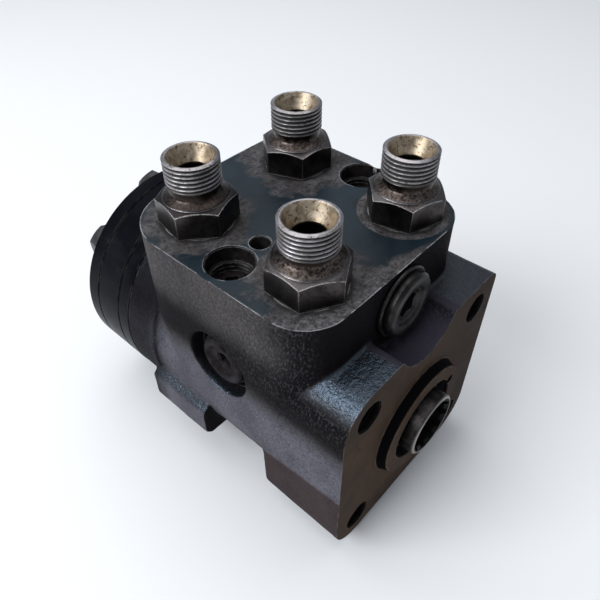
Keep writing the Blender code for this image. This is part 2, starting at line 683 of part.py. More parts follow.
def adapter_meshes():
    """Port adapter about its own axis: body, hexagon and through bore, port face at 0."""
    low, seat, top = ADAPTER_FOOT, ADAPTER_SEAT, ADAPTER_TOP
    neck, thread = ADAPTER_NECK, ADAPTER_THREAD
    body = [(low, 0.0082), (low + 0.0006, 0.0087), (seat + 0.001, 0.0087), (seat + 0.001, 0.0100),
            (ADAPTER_NECK_START, 0.0100), (ADAPTER_NECK_START, neck), (ADAPTER_NECK_END, neck),
            (ADAPTER_NECK_END + 0.0005, thread), (top - 0.0006, thread), (top, thread - 0.0005)]
    bore = [(low - 0.001, ADAPTER_BORE), (top - 0.0050, ADAPTER_BORE), (top + 0.0001, ADAPTER_CONE_MOUTH)]
    return (turned("adapter_body", "Z", body, FINE, hollow=False),
            prism("adapter_hexagon", "Z", hexagon(ADAPTER_HEXAGON), seat, ADAPTER_HEXAGON_TOP, smooth=False),
            turned("adapter_bore", "Z", bore, FINE, hollow=False))


def build_port_adapters(ports, steel, rubber):
    for place, (x, station) in port_positions().items():
        body, hexagon_mesh, bore = adapter_meshes()
        turn = Matrix.Rotation(math.radians(HEXAGON_TURN[place]), 4, "Z")
        location = (x, station - PORT_MIDDLE, 0.0)
        adapter = make_object(f"port_adapter_{place}", body, ports, steel, location=location)
        add(adapter, f"guide_hexagon_{place}", moved_mesh(hexagon_mesh, turn))
        cut(adapter, f"cutter_adapter_{place}", bore)
        ring = tube("port_seal", "Z", -0.0014, -0.0003, 0.0107, 0.0093, FINE)
        make_object(f"port_seal_{place}", ring, ports, rubber, location=location)


def coil(name, parent, material, location, axis, length, radius, wire, turns):
    """Compression spring along X, Y or Z, as one closed wire."""
    curve = bpy.data.curves.new(name, "CURVE")
    curve.dimensions = "3D"
    curve.fill_mode = "FULL"
    curve.use_fill_caps = True
    curve.bevel_depth = wire
    curve.bevel_resolution = 0
    steps = turns * 7
    spline = curve.splines.new("POLY")
    spline.points.add(steps)
    for step in range(steps + 1):
        angle = math.tau * turns * step / steps
        along = wire + (length - 2.0 * wire) * step / steps
        ring = (radius * math.cos(angle), radius * math.sin(angle))
        point = (ring[0], along, ring[1]) if axis == "Y" else (ring[0], ring[1], along)
        spline.points[step].co = (*point, 1.0)
    curve.materials.append(material)
    spring = bpy.data.objects.new(name, curve)
    spring.parent = parent
    spring.location = location
    bpy.context.scene.collection.objects.link(spring)


def ball(name, parent, material, location, radius):
    bm = bmesh.new()
    bmesh.ops.create_uvsphere(bm, u_segments=12, v_segments=8, radius=radius)
    make_object(name, finish_mesh(bm, name), parent, material, location=location)


def build_shock_valves(ports, steel, spring_steel):
    """Screw plug, spring and ball in each of the two deep wells of the port face."""
    for name, side in (("left", -1.0), ("right", 1.0)):
        x = side * SHOCK_BORE_OFFSET
        screw = rod("shock_plug", "Z", -0.0130, -0.0080, 0.0065, FINE)
        plug = make_object(f"shock_plug_{name}", screw, ports, steel, location=(x, 0.0, 0.0))
        socket = prism(f"cutter_shock_socket_{name}", "Z", hexagon(0.006), -0.0110, -0.0070, smooth=False)
        cut(plug, f"cutter_shock_socket_{name}", socket)
        coil(f"shock_spring_{name}", ports, spring_steel, (x, 0.0, -0.0200), "Z", 0.0066, 0.0028, 0.00045, 4)
        ball(f"shock_ball_{name}", ports, steel, (x, 0.0, -0.0238), 0.0030)


def build_check_valve(ports, steel):
    bush = tube("check_bush", "Z", -0.0090, -0.0050, 0.0028, 0.0014, 16)
    make_object("check_bush", bush, ports, steel, location=(CHECK_BORE_OFFSET, 0.0, 0.0))
    ball("check_ball", ports, steel, (CHECK_BORE_OFFSET, 0.0, -0.0140), 0.0023)


def build_relief_valve(frame, steel, copper, spring_steel):
    """Screw plug with its washer, then spring, poppet and seat along the relief bore."""
    place = (0.0, 0.0, RELIEF_HEIGHT)
    front, back = RELIEF_PLUG_FRONT, FRONT_WALL - 0.0017
    body = [(front, 0.0104), (front + 0.0007, 0.0112), (back, 0.0112), (back, 0.0087), (0.0215, 0.0087)]
    plug = make_object("relief_plug", turned("relief_plug", "Y", body, FINE, hollow=False), frame, steel,
                       location=place)
    socket = prism("cutter_relief_socket", "Y", hexagon(0.008), front - 0.001, front + 0.006, smooth=False)
    cut(plug, "cutter_relief_socket", socket)
    washer = tube("relief_washer", "Y", FRONT_WALL - 0.0014, FRONT_WALL - GAP, 0.0123, 0.0090, FINE)
    make_object("relief_washer", washer, frame, copper, location=place)
    coil("relief_spring", frame, spring_steel, (0.0, 0.0220, RELIEF_HEIGHT), "Y", 0.0120, 0.0040, 0.0006, 5)
    poppet = [(0.0345, 0.0055), (0.0400, 0.0055), (0.0430, 0.0025)]
    poppet_mesh = turned("relief_poppet", "Y", poppet, 16, hollow=False)
    make_object("relief_poppet", poppet_mesh, frame, steel, location=place)
    seat = tube("relief_seat", "Y", 0.0436, 0.0485, 0.0057, 0.0020, 16)
    make_object("relief_seat", seat, frame, steel, location=place)


def build_side_plug(frame, steel, copper):
    place = (0.0, SIDE_PLUG_STATION, SIDE_PLUG_HEIGHT)
    front, back = SIDE_PLUG_FRONT, SIDE_SPOT_FACE - 0.0016
    body = [(front, 0.0080), (front + 0.0006, 0.0088), (back, 0.0088), (back, 0.0057), (-0.0235, 0.0057)]
    body_mesh = turned("side_plug", "X", body, FINE, hollow=False)
    plug = make_object("side_plug", body_mesh, frame, steel, location=place)
    socket = prism("cutter_side_socket", "Z", hexagon(0.006), 0.0, 0.0040, smooth=False)
    cut(plug, "cutter_side_socket", moved_mesh(socket, Matrix.Translation((front - 0.001, 0.0, 0.0))
                                               @ Matrix.Rotation(math.pi / 2.0, 4, "Y")))
    washer = tube("side_washer", "X", SIDE_SPOT_FACE - 0.0013, SIDE_SPOT_FACE - GAP, 0.0097, 0.0060, FINE)
    make_object("side_washer", washer, frame, copper, location=place)


# Assembly ---------------------------------------------------------------------------

def make_palette():
    return {"cast_iron": make_material("painted_cast_iron", (0.018, 0.022, 0.026), 0.45, 0.3),
            "adapter": make_material("zinc_plated_steel", (0.30, 0.28, 0.24), 0.38, 1.0),
            "ground": make_material("ground_steel", (0.42, 0.42, 0.42), 0.25, 1.0),
            "bolt": make_material("blackened_steel", (0.05, 0.05, 0.055), 0.45, 0.9),
            "plug": make_material("worn_steel", (0.22, 0.21, 0.20), 0.45, 1.0),
            "washer": make_material("washer_steel", (0.28, 0.25, 0.22), 0.45, 1.0),
            "spring": make_material("spring_steel", (0.25, 0.26, 0.30), 0.30, 1.0),
            "rubber": make_material("nitrile_rubber", (0.012, 0.012, 0.012), 0.75, 0.0)}


def main():
    clear_scene()
    palette = make_palette()
    frame = make_empty("spool_axis", (0.0, -FLANGE_TO_MIDDLE, AXIS_HEIGHT))
    ports = make_empty("port_face", (0.0, PORT_MIDDLE - FLANGE_TO_MIDDLE, AXIS_HEIGHT + PORT_FACE))
    build_housing(frame, palette["cast_iron"])
    build_spool(frame, palette["ground"])
    build_sleeve(frame, palette["ground"])
    build_cross_pin(frame, palette["ground"])
    build_centering_springs(frame, palette["spring"])
    build_drive_shaft(frame, palette["plug"])
    build_drive_spacer(frame, palette["plug"])
    build_distributor_plate(frame, palette["cast_iron"])
    build_gerotor_ring(frame, palette["cast_iron"])
    build_gerotor_rotor(frame, palette["ground"])
    build_end_cover(frame, palette["cast_iron"])
    build_cover_bolts(frame, palette["bolt"], palette["washer"])
    build_seal_rings(frame, palette["rubber"])
    build_front_seals(frame, palette["rubber"])
    build_thrust_bearing(frame, palette["ground"])
    build_port_adapters(ports, palette["adapter"], palette["rubber"])
    build_shock_valves(ports, palette["plug"], palette["spring"])
    build_check_valve(ports, palette["plug"])
    build_relief_valve(frame, palette["plug"], palette["washer"], palette["spring"])
    build_side_plug(frame, palette["plug"], palette["washer"])


main()
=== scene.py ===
"""Looks of a hydrostatic steering unit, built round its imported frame. Metres, +Z up."""

import math

import bmesh
import bpy
import numpy as np
from mathutils import Matrix, Vector, noise


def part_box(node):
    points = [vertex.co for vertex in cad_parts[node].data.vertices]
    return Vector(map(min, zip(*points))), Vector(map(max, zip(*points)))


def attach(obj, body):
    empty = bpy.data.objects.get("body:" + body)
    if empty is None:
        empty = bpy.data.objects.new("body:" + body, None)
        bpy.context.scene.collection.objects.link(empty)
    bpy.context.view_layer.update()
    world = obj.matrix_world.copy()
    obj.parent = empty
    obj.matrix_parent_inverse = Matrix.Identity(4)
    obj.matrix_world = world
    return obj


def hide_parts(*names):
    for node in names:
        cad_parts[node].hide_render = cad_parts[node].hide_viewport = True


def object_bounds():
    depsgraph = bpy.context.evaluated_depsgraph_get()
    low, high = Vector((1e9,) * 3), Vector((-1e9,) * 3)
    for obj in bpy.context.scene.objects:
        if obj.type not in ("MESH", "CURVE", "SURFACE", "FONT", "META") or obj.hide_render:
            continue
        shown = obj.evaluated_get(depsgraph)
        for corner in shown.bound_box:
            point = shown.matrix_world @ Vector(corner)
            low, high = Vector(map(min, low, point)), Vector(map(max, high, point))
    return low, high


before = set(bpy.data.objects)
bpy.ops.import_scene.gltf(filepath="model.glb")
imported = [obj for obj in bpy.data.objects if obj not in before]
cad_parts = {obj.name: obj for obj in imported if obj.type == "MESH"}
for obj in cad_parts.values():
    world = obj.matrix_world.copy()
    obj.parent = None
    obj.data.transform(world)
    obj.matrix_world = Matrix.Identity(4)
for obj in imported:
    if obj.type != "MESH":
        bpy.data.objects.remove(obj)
CAD_BOX = [list(corner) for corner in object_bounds()]

# Places read from the frame -----------------------------------

HOUSING_LOW, HOUSING_HIGH = (Vector(corner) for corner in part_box("valve_housing"))
RING_LOW, RING_HIGH = (Vector(corner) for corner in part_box("gerotor_ring"))

HOUSING_END = 0.1025                            # flange face to the rear of the casting
FACE_Y = HOUSING_HIGH.y - HOUSING_END           # flange face
BOSS_HEIGHT = FACE_Y - HOUSING_LOW.y            # boss in front of the flange face
AXIS_Z = (RING_LOW.z + RING_HIGH.z) / 2.0       # spool axis
PORT_Z = HOUSING_HIGH.z                         # port face
PORT_FACE = PORT_Z - AXIS_Z
FRONT_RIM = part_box("control_spool")[0][1]       # front end of the spool
UNIT_FRAME = Matrix.Translation((0.0, FACE_Y, AXIS_Z))     # x, station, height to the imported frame

# Housing sizes, the same as the frame's -----------------------
# A station is a distance behind the flange face, a height one above the spool axis.

BODY_RADIUS = 0.041
BARREL_START = 0.02
GEAR_SECTION_RADIUS = (RING_HIGH.x - RING_LOW.x) / 2.0
FLANGE_HALF_WIDTH = 0.0405
FLANGE_BOTTOM = -0.0395
EAR_TOP = 0.0395
EAR_CORNER_LEFT = 0.0125
EAR_CORNER_RIGHT = 0.0045
FLANGE_CORNER_BOTTOM = 0.0125
FLANGE_BLOCK_END = 0.034
NOTCH_RADIUS = 0.0155
LUG_INNER, LUG_OUTER = 0.03, 0.044
LUG_LOW, LUG_HIGH = -0.0255, -0.0065
LUG_START, LUG_END = 0.0605, 0.0905
FRONT_WALL = 0.0124
PORT_BLOCK_END = 0.094
PORT_BLOCK_LEFT = 0.0408
PORT_BLOCK_RIGHT = 0.0385
PORT_BLOCK_CORNERS = (0.0142, 0.0155, 0.015, 0.02)    # front left, front right, rear right, rear left
BOSS_RADIUS = 0.0206
BOSS_FOOT = 0.0222
FLANGE_HOLE_PITCH = 0.0825 / math.sqrt(2.0)
FLANGE_HOLE_RADIUS = 0.00525
FLANGE_HOLE_DEPTH = 0.02
DOWEL_RADIUS, DOWEL_X, DOWEL_HEIGHT = 0.0018, 0.0146, 0.008
PORT_MIDDLE = 0.0512
PORT_PITCH = 0.0453
PORT_THREAD = 0.009
PORT_THREAD_DEPTH = 0.0135
PORT_DRILLING = 0.005
PORT_RECESS, PORT_RECESS_DEPTH = 0.011, 0.0017
MAIN_BORE = 0.0193
RELIEF_HEIGHT = 0.046
RELIEF_BORE = 0.009
RELIEF_PLUG_FRONT = 0.008
SIDE_PLUG_STATION = 0.0517
SIDE_PLUG_HEIGHT = 0.021
SIDE_PLUG_FRONT = -0.0392
SIDE_SPOT_FACE = -0.0358
SIDE_SPOT_RADIUS = 0.0126
SHOCK_BORE_OFFSET = 0.031
SHOCK_WELL = 0.0074
CHECK_BORE_OFFSET = -0.0188
CHECK_BORE = 0.0031
BOLT_CIRCLE = 0.0333
BOLT_COUNT = 7
BOLT_RADIUS = 0.004
BOLT_TIP = 0.09
BOLT_HEAD_FLATS = 0.013
BOLT_HEAD_HEIGHT = 0.0043
PLATE_CHAMFER = 0.0004
SEAL_DEPTH = 0.0014
GAP = 0.0003

SKIN_VOXEL = 0.0006             # grid of the cast skin
SKIN_WAVES = ((0.011, 0.0001), (0.0026, 0.00005))         # size and height of its unevenness
SKIN_LOSS = 0.00008             # what the sand takes off all over
SPARE = 0.001                   # how far a cutter reaches past the shape that it cuts
THREAD_PITCH = 0.001375
BOLT_PITCH = 0.00125
ROUND = 160                     # sides of a large turned piece
FINE = 96                       # sides of a small turned piece
COARSE = 64                     # sides of a washer or a tapped hole
MEDIUM = 48                     # sides of a bolt or a plain hole in a plate
PLAIN = 32                      # sides of a hole that is hardly seen


# Mesh helpers -------------------------------------------------

def mesh_from(verts, faces):
    """A closed mesh with its faces turned outward."""
    mesh = bpy.data.meshes.new("shape")
    mesh.from_pydata([tuple(point) for point in verts], [], [tuple(face) for face in faces])
    bm = bmesh.new()
    bm.from_mesh(mesh)
    bmesh.ops.recalc_face_normals(bm, faces=bm.faces)
    bm.to_mesh(mesh)
    bm.free()
    return mesh


def polar(radius, angle):
    return radius * math.cos(angle), radius * math.sin(angle)


def along_axis(axis, radius, along, angle):
    """A point at a radius and angle round a turning axis named X, Y or Z."""
    a, b = polar(radius, angle)
    return {"X": (along, a, b), "Y": (a, along, b), "Z": (a, b, along)}[axis]


def thread_groove(phase):
    """Depth share of a rounded thread at a phase: 0 on the crest, 1 in the root."""
    ramp = abs((phase % 1.0) * 2.0 - 1.0)
    share = min(max((ramp - 0.1) / 0.8, 0.0), 1.0)
    return share * share * (3.0 - 2.0 * share)


def turned(axis, profile, segments=ROUND, closed=False, pitch=THREAD_PITCH):
    """Spin (along, radius[, thread depth]) rows round an axis; depth cuts a helix of that pitch."""
    verts = []
    for row in profile:
        along, radius = row[0], row[1]
        depth = row[2] if len(row) > 2 else 0.0
        for step in range(segments):
            angle = math.tau * step / segments
            sink = depth * thread_groove(along / pitch - step / segments) if depth else 0.0
            verts.append(along_axis(axis, radius - sink, along, angle))
    rows = len(profile)
    faces = []
    for row in range(rows if closed else rows - 1):
        after = (row + 1) % rows
        for step in range(segments):
            side = (step + 1) % segments
            faces.append((row * segments + step, row * segments + side,
                          after * segments + side, after * segments + step))
    if not closed:
        faces.append(tuple(range(segments)))
        faces.append(tuple(range((rows - 1) * segments, rows * segments)))
    return mesh_from(verts, faces)


def prism(axis, outline, start, end):
    """Extrude a plane outline along an axis: (y, z), (x, z) or (x, y) points."""
    place = {"X": lambda p, a: (a, p[0], p[1]), "Y": lambda p, a: (p[0], a, p[1]),
             "Z": lambda p, a: (p[0], p[1], a)}[axis]
    count = len(outline)
    verts = [place(point, start) for point in outline] + [place(point, end) for point in outline]
    faces = [tuple(range(count)), tuple(range(count, 2 * count))]
    for step in range(count):
        side = (step + 1) % count
        faces.append((step, side, count + side, count + step))
    return mesh_from(verts, faces)


def block(low, high):
    (x0, y0, z0), (x1, y1, z1) = low, high
    return prism("Z", [(x0, y0), (x1, y0), (x1, y1), (x0, y1)], z0, z1)


def arc(centre, radius, start, end, steps):
    """Points along an arc, both ends included; angles in degrees."""
    angles = [math.radians(start + (end - start) * step / steps) for step in range(steps + 1)]
    return [(centre[0] + radius * math.cos(a), centre[1] + radius * math.sin(a)) for a in angles]


def rounded_hexagon(flats, corner, turn=0.0):
    """Hexagon outline with small round corners; turn in degrees."""
    reach = (flats / 2.0 - corner) / math.cos(math.pi / 6.0)
    outline = []
    for side in range(6):
        angle = 60.0 * side + turn
        outline += arc(polar(reach, math.radians(angle)), corner, angle - 30.0, angle + 30.0, 5)
    return outline


def moved(mesh, *place):
    mesh.transform(Matrix.Translation(place))
    return mesh


def merged(meshes):
    """Put separate shapes that don't touch in one mesh, for use as a cutter."""
    bm = bmesh.new()
    for mesh in meshes:
        bm.from_mesh(mesh)
    whole = bpy.data.meshes.new("cutters")
    bm.to_mesh(whole)
    bm.free()
    return whole


def evaluated(item):
    """The item's mesh with its modifiers applied; the item is removed."""
    depsgraph = bpy.context.evaluated_depsgraph_get()
    mesh = bpy.data.meshes.new_from_object(item.evaluated_get(depsgraph))
    bpy.data.objects.remove(item)
    return mesh


def shown(mesh, name="shape"):
    item = bpy.data.objects.new(name, mesh)
    bpy.context.scene.collection.objects.link(item)
    return item


def combined(base, operation, other):
    """Union, difference or intersection of two closed meshes."""
    first, second = shown(base), shown(other)
    modifier = first.modifiers.new("combine", "BOOLEAN")
    modifier.operation = operation
    modifier.solver = "MANIFOLD"
    modifier.object = second
    result = evaluated(first)
    bpy.data.objects.remove(second)
    if not result.polygons:
        raise RuntimeError("a Boolean left nothing")
    return result


def united(whole, *others):
    for other in others:
        whole = combined(whole, "UNION", other)
    return whole


def cut(whole, *tools):
    for tool in tools:
        whole = combined(whole, "DIFFERENCE", tool)
    return whole


def seated(mesh, x=0.0, station=0.0, height=0.0):
    """Move a mesh from its own axis to its place in the unit."""
    mesh.transform(UNIT_FRAME @ Matrix.Translation((x, station, height)))
    return mesh


def piece(name, mesh, slot, node, *looks, body="housing", sharp=32.0):
    """Show a mesh as a piece that rides on a body in place of a CAD node; sharp in degrees."""
    mesh.shade_smooth()
    mesh.set_sharp_from_angle(angle=math.radians(sharp))
    item = shown(mesh, name)
    mesh.name = name
    mesh.materials.clear()
    for look in looks:
        mesh.materials.append(PALETTE[look])
    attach(item, body)
    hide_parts(node)
    return item


# Material helpers ---------------------------------------------

class Surface:
    """A node material that grows through short calls; sockets are passed as values."""

    def __init__(self, name):
        self.material = bpy.data.materials.new(name)
        self.material.use_nodes = True
        self.tree = self.material.node_tree
        self.shader = self.tree.nodes["Principled BSDF"]
        self.place = self.node("TexCoord").outputs["Object"]
        self.station = self.less(self.part("Y"), FACE_Y)
        self.height = self.less(self.part("Z"), AXIS_Z)
        self.colour = None

    def node(self, kind, values=(), **settings):
        node = self.tree.nodes.new("ShaderNode" + kind)
        for key, value in settings.items():
            setattr(node, key, value)
        for key, value in dict(values).items():
            self.put(node.inputs[key], value)
        return node

    def put(self, socket, value):
        if isinstance(value, bpy.types.NodeSocket):
            self.tree.links.new(value, socket)
        elif socket.type == "RGBA" and len(value) == 3:
            socket.default_value = (*value, 1.0)
        else:
            socket.default_value = value

    def noise(self, size, detail=3.0, roughness=0.55, distortion=0.0, vector=None):
        """Fractal noise with features of about the given size in metres."""
        return self.node("TexNoise", {"Vector": vector or self.place, "Scale": 1.0 / size, "Detail": detail,
                                      "Roughness": roughness, "Distortion": distortion}).outputs["Fac"]

    def stretched(self, x, y, z):
        """The place with each axis scaled, for grain that runs one way."""
        return self.node("Mapping", {"Vector": self.place, "Scale": (x, y, z)}).outputs["Vector"]

    def part(self, axis, space=None):
        """One coordinate of the place, or of another vector."""
        split = self.node("SeparateXYZ", {"Vector": space or self.place})
        return split.outputs[axis]

    def normal_part(self, axis):
        return self.part(axis, self.node("NewGeometry").outputs["Normal"])

    def ramp(self, value, low, high, bottom=0.0, top=1.0):
        """Smooth step from bottom to top as value goes from low to high."""
        ends = {"From Min": low, "From Max": high, "To Min": bottom, "To Max": top}
        return self.node("MapRange", {"Value": value, **ends}, interpolation_type="SMOOTHSTEP",
                         clamp=True).outputs["Result"]

    def fall(self, value, low, high):
        return self.ramp(value, low, high, 1.0, 0.0)

    def between(self, share, bottom, top):
        return self.ramp(share, 0.0, 1.0, bottom, top)

    def math(self, operation, first, *others):
        """A running result over two or more values, or a function of one."""
        for other in others or (0.0,):
            node = self.node("Math", operation=operation)
            self.put(node.inputs[0], first)
            self.put(node.inputs[1], other)
            first = node.outputs[0]
        return first

    def times(self, *values):
        return self.math("MULTIPLY", *values)

    def plus(self, *values):
        return self.math("ADD", *values)

    def most(self, *values):
        return self.math("MAXIMUM", *values)

    def less(self, first, second):
        return self.math("SUBTRACT", first, second)

    def other(self, share):
        """What is left of 1."""
        return self.less(1.0, share)

    def size(self, value):
        return self.math("ABSOLUTE", value)

    def reach(self, across, along):
        """Length of the diagonal over two distances."""
        return self.math("POWER", self.plus(self.times(across, across), self.times(along, along)), 0.5)

    def mix(self, share, first, second):
        """Blend two colours."""
        node = self.node("Mix", data_type="RGBA")
        colours = [socket for socket in node.inputs if socket.type == "RGBA"]
        self.put(node.inputs["Factor"], share)
        self.put(colours[0], first)
        self.put(colours[1], second)
        return next(socket for socket in node.outputs if socket.type == "RGBA")

    def coat(self, under, over, share, strength=1.0):
        """Lay a colour over another where the share is 1."""
        return self.mix(share if strength == 1.0 else self.times(share, strength), under, over)

    def lay(self, over, share, strength=1.0):
        """Lay a colour over the colour of the surface."""
        self.colour = self.coat(self.colour, over, share, strength)

    def blotches(self, cloud, first, second):
        return self.mix(self.ramp(cloud, 0.3, 0.7), first, second)

    def edge(self, radius, low=0.02, high=0.25):
        """1 on convex and concave edges sharper than the radius, 0 on flats."""
        soft = self.node("Bevel", {"Radius": radius}, samples=4).outputs["Normal"]
        plain = self.node("NewGeometry").outputs["Normal"]
        dot = self.node("VectorMath", {0: soft, 1: plain}, operation="DOT_PRODUCT")
        return self.ramp(self.other(dot.outputs["Value"]), low, high)

    def wear(self, radius, size, low, high, sharp_low=0.02, sharp_high=0.25, detail=3.0):
        """Edges rubbed bare here and there, in stretches of about the given size."""
        places = self.ramp(self.noise(size, detail), low, high)
        return self.times(self.edge(radius, sharp_low, sharp_high), places)

    def nook(self, distance, low=0.35, high=0.95):
        """1 in corners and next to neighbours, 0 in the open."""
        open_share = self.node("AmbientOcclusion", {"Distance": distance}, samples=6).outputs["AO"]
        return self.fall(open_share, low, high)

    def bump(self, height, distance, strength):
        values = {"Height": height, "Distance": distance, "Strength": strength}
        return self.node("Bump", values).outputs["Normal"]

    def finish(self, roughness, normal=None, metallic=0.0, shine=0.5, tint=(1.0, 1.0, 1.0)):
        """Hand the surface to its shader; shine is how strongly its coat mirrors."""
        values = {"Base Color": self.colour, "Roughness": roughness, "Metallic": metallic,
                  "Specular IOR Level": shine, "Specular Tint": tint}
        if normal is not None:
            values["Normal"] = normal
        for key, value in values.items():
            self.put(self.shader.inputs[key], value)
        return self.material


# Housing materials --------------------------------------------

def cast_paint():
    """Thin black paint over rough cast iron, dulled by dust and rubbed at the edges, with painted light and
    shade in its colour.
    """
    s = Surface("black_painted_casting")
    height, station = s.height, s.station
    grain = s.noise(0.0008, 4.0, 0.65)
    lumps = s.noise(0.0018, 3.0, 0.6)
    patches = s.noise(0.016, 4.0, 0.6, 0.6)
    upward = s.ramp(s.normal_part("Z"), 0.35, 0.85)
    frontal = s.fall(s.normal_part("Y"), -0.75, -0.25)
    sideways = s.ramp(s.size(s.normal_part("X")), 0.4, 0.9)
    facing_front_or_up = s.most(upward, frontal)
    # grey dust on the walls, and painted light: the walls are laid lighter low down and under the port face,
    # with a painted band of shade between
    low = s.ramp(height, 0.026, 0.01)
    rim = s.ramp(height, PORT_FACE - 0.026, PORT_FACE - 0.01)
    fore = s.times(s.ramp(station, 0.018, 0.036, 0.75, 0.0), s.ramp(height, 0.016, 0.026))
    fade = s.times(s.plus(s.most(low, s.times(rim, 0.8)), 0.05), s.other(fore))
    dust_and_painted_light = s.times(s.ramp(patches, 0.3, 0.7, 0.6, 1.0), fade, s.other(s.times(facing_front_or_up, 0.92)),
                    s.between(sideways, 0.3, 1.0))
    tone = s.mix(low, (0.056, 0.049, 0.048), (0.094, 0.091, 0.112))
    s.colour = s.mix(dust_and_painted_light, (0.005, 0.0044, 0.0054), tone)
    # painted shade: faces turned to the front are laid near black, faces turned up a dark blue-black
    s.lay(s.mix(upward, (0.0085, 0.007, 0.008), (0.01, 0.012, 0.016)), facing_front_or_up, 0.8)
    # pale crests, partly dust on them and partly painted highlights on the bumps; dark pits; and fine flecks
    # at the front left corner, which are painted glints
    s.lay((0.2, 0.19, 0.21), s.times(s.ramp(grain, 0.54, 0.66), s.plus(dust_and_painted_light, 0.04)), 0.36)
    painted_glints = s.ramp(s.noise(0.0006, 3.0, 0.6, vector=s.stretched(1.0, 1.0, 0.45)), 0.5, 0.64)
    corner = s.times(s.fall(station, 0.034, 0.056), s.ramp(height, 0.018, 0.034),
                     s.fall(s.normal_part("X"), -0.8, -0.4))
    s.lay((0.2, 0.195, 0.21), s.times(painted_glints, corner), 0.15)
    s.lay((0.004, 0.003, 0.004), s.times(s.fall(grain, 0.36, 0.48), s.between(facing_front_or_up, 0.6, 0.3)))
    # brown side of the flange block, its upper edge falling to the rear
    band = s.times(s.fall(s.plus(height, s.times(station, 0.106)), -0.0068, -0.0046),
                   s.fall(station, 0.036, 0.04))
    s.lay(s.mix(patches, (0.026, 0.018, 0.018), (0.06, 0.043, 0.043)), band, 0.92)
    # black collar behind, lighter grey-violet floor in the notch, bare edges, grime, and painted shade laying
    # the well round the side plug black
    behind = s.ramp(station, 0.08, 0.092, 0.0, 0.85)
    s.lay((0.006, 0.0052, 0.007), behind)
    # the floor of the notch, on its faces turned up, is laid lighter grey-violet
    outside = s.ramp(s.size(s.part("X")), NOTCH_RADIUS, NOTCH_RADIUS + 0.002)
    s.lay((0.04, 0.036, 0.05), s.times(upward, s.other(outside)), 0.75)
    s.lay((0.2, 0.18, 0.17), s.wear(0.0006, 0.0035, 0.44, 0.62), 0.6)
    grime = s.times(s.nook(0.006), s.ramp(s.noise(0.004), 0.3, 0.55))
    s.lay((0.008, 0.007, 0.007), grime, 0.7)
    # painted shade: the well round the side plug is laid near black and loses its sheen
    recess = s.times(s.fall(side_plug_reach(s), 0.0122, 0.013), s.ramp(s.part("X"), -0.0408, -0.0402))
    s.lay((0.005, 0.0045, 0.0055), recess, 0.95)
    # the ears stay glossy, and the dust and painted light look satin
    gloss = s.times(upward, outside, s.between(grime, 1.0, 0.4),
                    s.ramp(s.part("X"), 0.0, NOTCH_RADIUS, 1.0, 0.55))
    relief = s.plus(s.times(grain, 0.8), s.times(lumps, s.between(gloss, 1.6, 2.4)))
    shine = s.times(s.plus(s.ramp(dust_and_painted_light, 0.05, 0.6, 0.02, 0.11), s.times(gloss, 0.75)),
                    s.other(s.most(behind, recess)), s.between(band, 1.0, 0.15))
    tint = s.mix(gloss, (1.0, 0.97, 0.97), (0.6, 0.78, 1.0))
    return s.finish(s.between(gloss, 0.58, 0.2), s.bump(relief, 0.00022, 0.8), 0.0, shine, tint)


def side_plug_reach(s):
    """Distance from the axis of the side plug."""
    return s.reach(s.less(s.station, SIDE_PLUG_STATION), s.less(s.height, SIDE_PLUG_HEIGHT))


def port_reach(s):
    """Distance from the axis of the nearest port fitting."""
    half = PORT_PITCH / 2.0
    return s.reach(s.less(s.size(s.part("X")), half), s.less(s.size(s.less(s.station, PORT_MIDDLE)), half))


def face_paint():
    """Milled port face: teal-black paint, chipped bare and greasy round the fittings."""
    s = Surface("painted_port_face")
    across, station, port = s.part("X"), s.station, port_reach(s)
    broad = s.noise(0.018, 5.0, 0.6, 0.8)
    fine = s.noise(0.0012, 4.0, 0.65)
    # where the paint is gone: raggedly round the fittings, in neat rings on the front right
    rear = s.ramp(station, PORT_MIDDLE - 0.003, PORT_MIDDLE + 0.003)
    right = s.ramp(across, -0.002, 0.004)
    tidy = s.times(right, s.other(rear))
    wander = s.times(s.less(s.noise(0.013, 6.0, 0.62), 0.5), s.between(tidy, 0.03, 0.002))
    reach = s.less(s.plus(port, wander), s.times(rear, right, 0.0018))
    slant = s.plus(station, s.times(across, 0.35), wander)
    front = s.fall(slant, 0.0165, 0.019)
    stain = s.most(s.ramp(reach, 0.0158, 0.0198, 0.9, 0.0), front)
    ring = s.fall(port, 0.0146, 0.015)
    bare = s.most(s.times(stain, s.other(tidy)), s.times(ring, tidy), front)
    paint = s.mix(s.ramp(broad, 0.35, 0.7), (0.0045, 0.0105, 0.0155), (0.0105, 0.0205, 0.0285))
    metal = s.mix(s.ramp(s.noise(0.005, 5.0, 0.7), 0.34, 0.66), (0.03, 0.026, 0.026), (0.092, 0.086, 0.088))
    metal = s.coat(metal, (0.052, 0.04, 0.036), s.ramp(s.noise(0.007, 4.0), 0.5, 0.7, 0.0, 0.6))
    metal = s.coat(metal, (0.012, 0.01, 0.01), s.ramp(fine, 0.52, 0.61), 0.8)
    s.colour = s.mix(bare, paint, metal)
    rubbed = s.times(s.fall(slant, 0.01, 0.017), s.ramp(s.noise(0.0016, 5.0, 0.7), 0.5, 0.6))
    s.lay((0.17, 0.17, 0.175), rubbed, 0.5)
    s.lay((0.012, 0.01, 0.009), s.fall(port, 0.0118, 0.0134), 0.7)
    worn = s.wear(0.0007, 0.005, 0.42, 0.52, 0.01, 0.12, detail=4.0)
    s.lay((0.5, 0.5, 0.52), worn)
    marks = s.noise(0.0009, 2.0, 0.5, vector=s.stretched(1.0, 0.08, 1.0))
    relief = s.plus(s.times(fine, s.between(bare, 0.5, 1.6)), s.times(marks, 0.3))
    skin = s.bump(s.less(relief, s.times(bare, 0.8)), 0.00008, 0.8)
    roughness = s.ramp(s.plus(bare, s.times(fine, 0.4)), 0.0, 1.3, 0.34, 0.66)
    return s.finish(roughness, skin, s.times(worn, 0.7), shine=0.22)


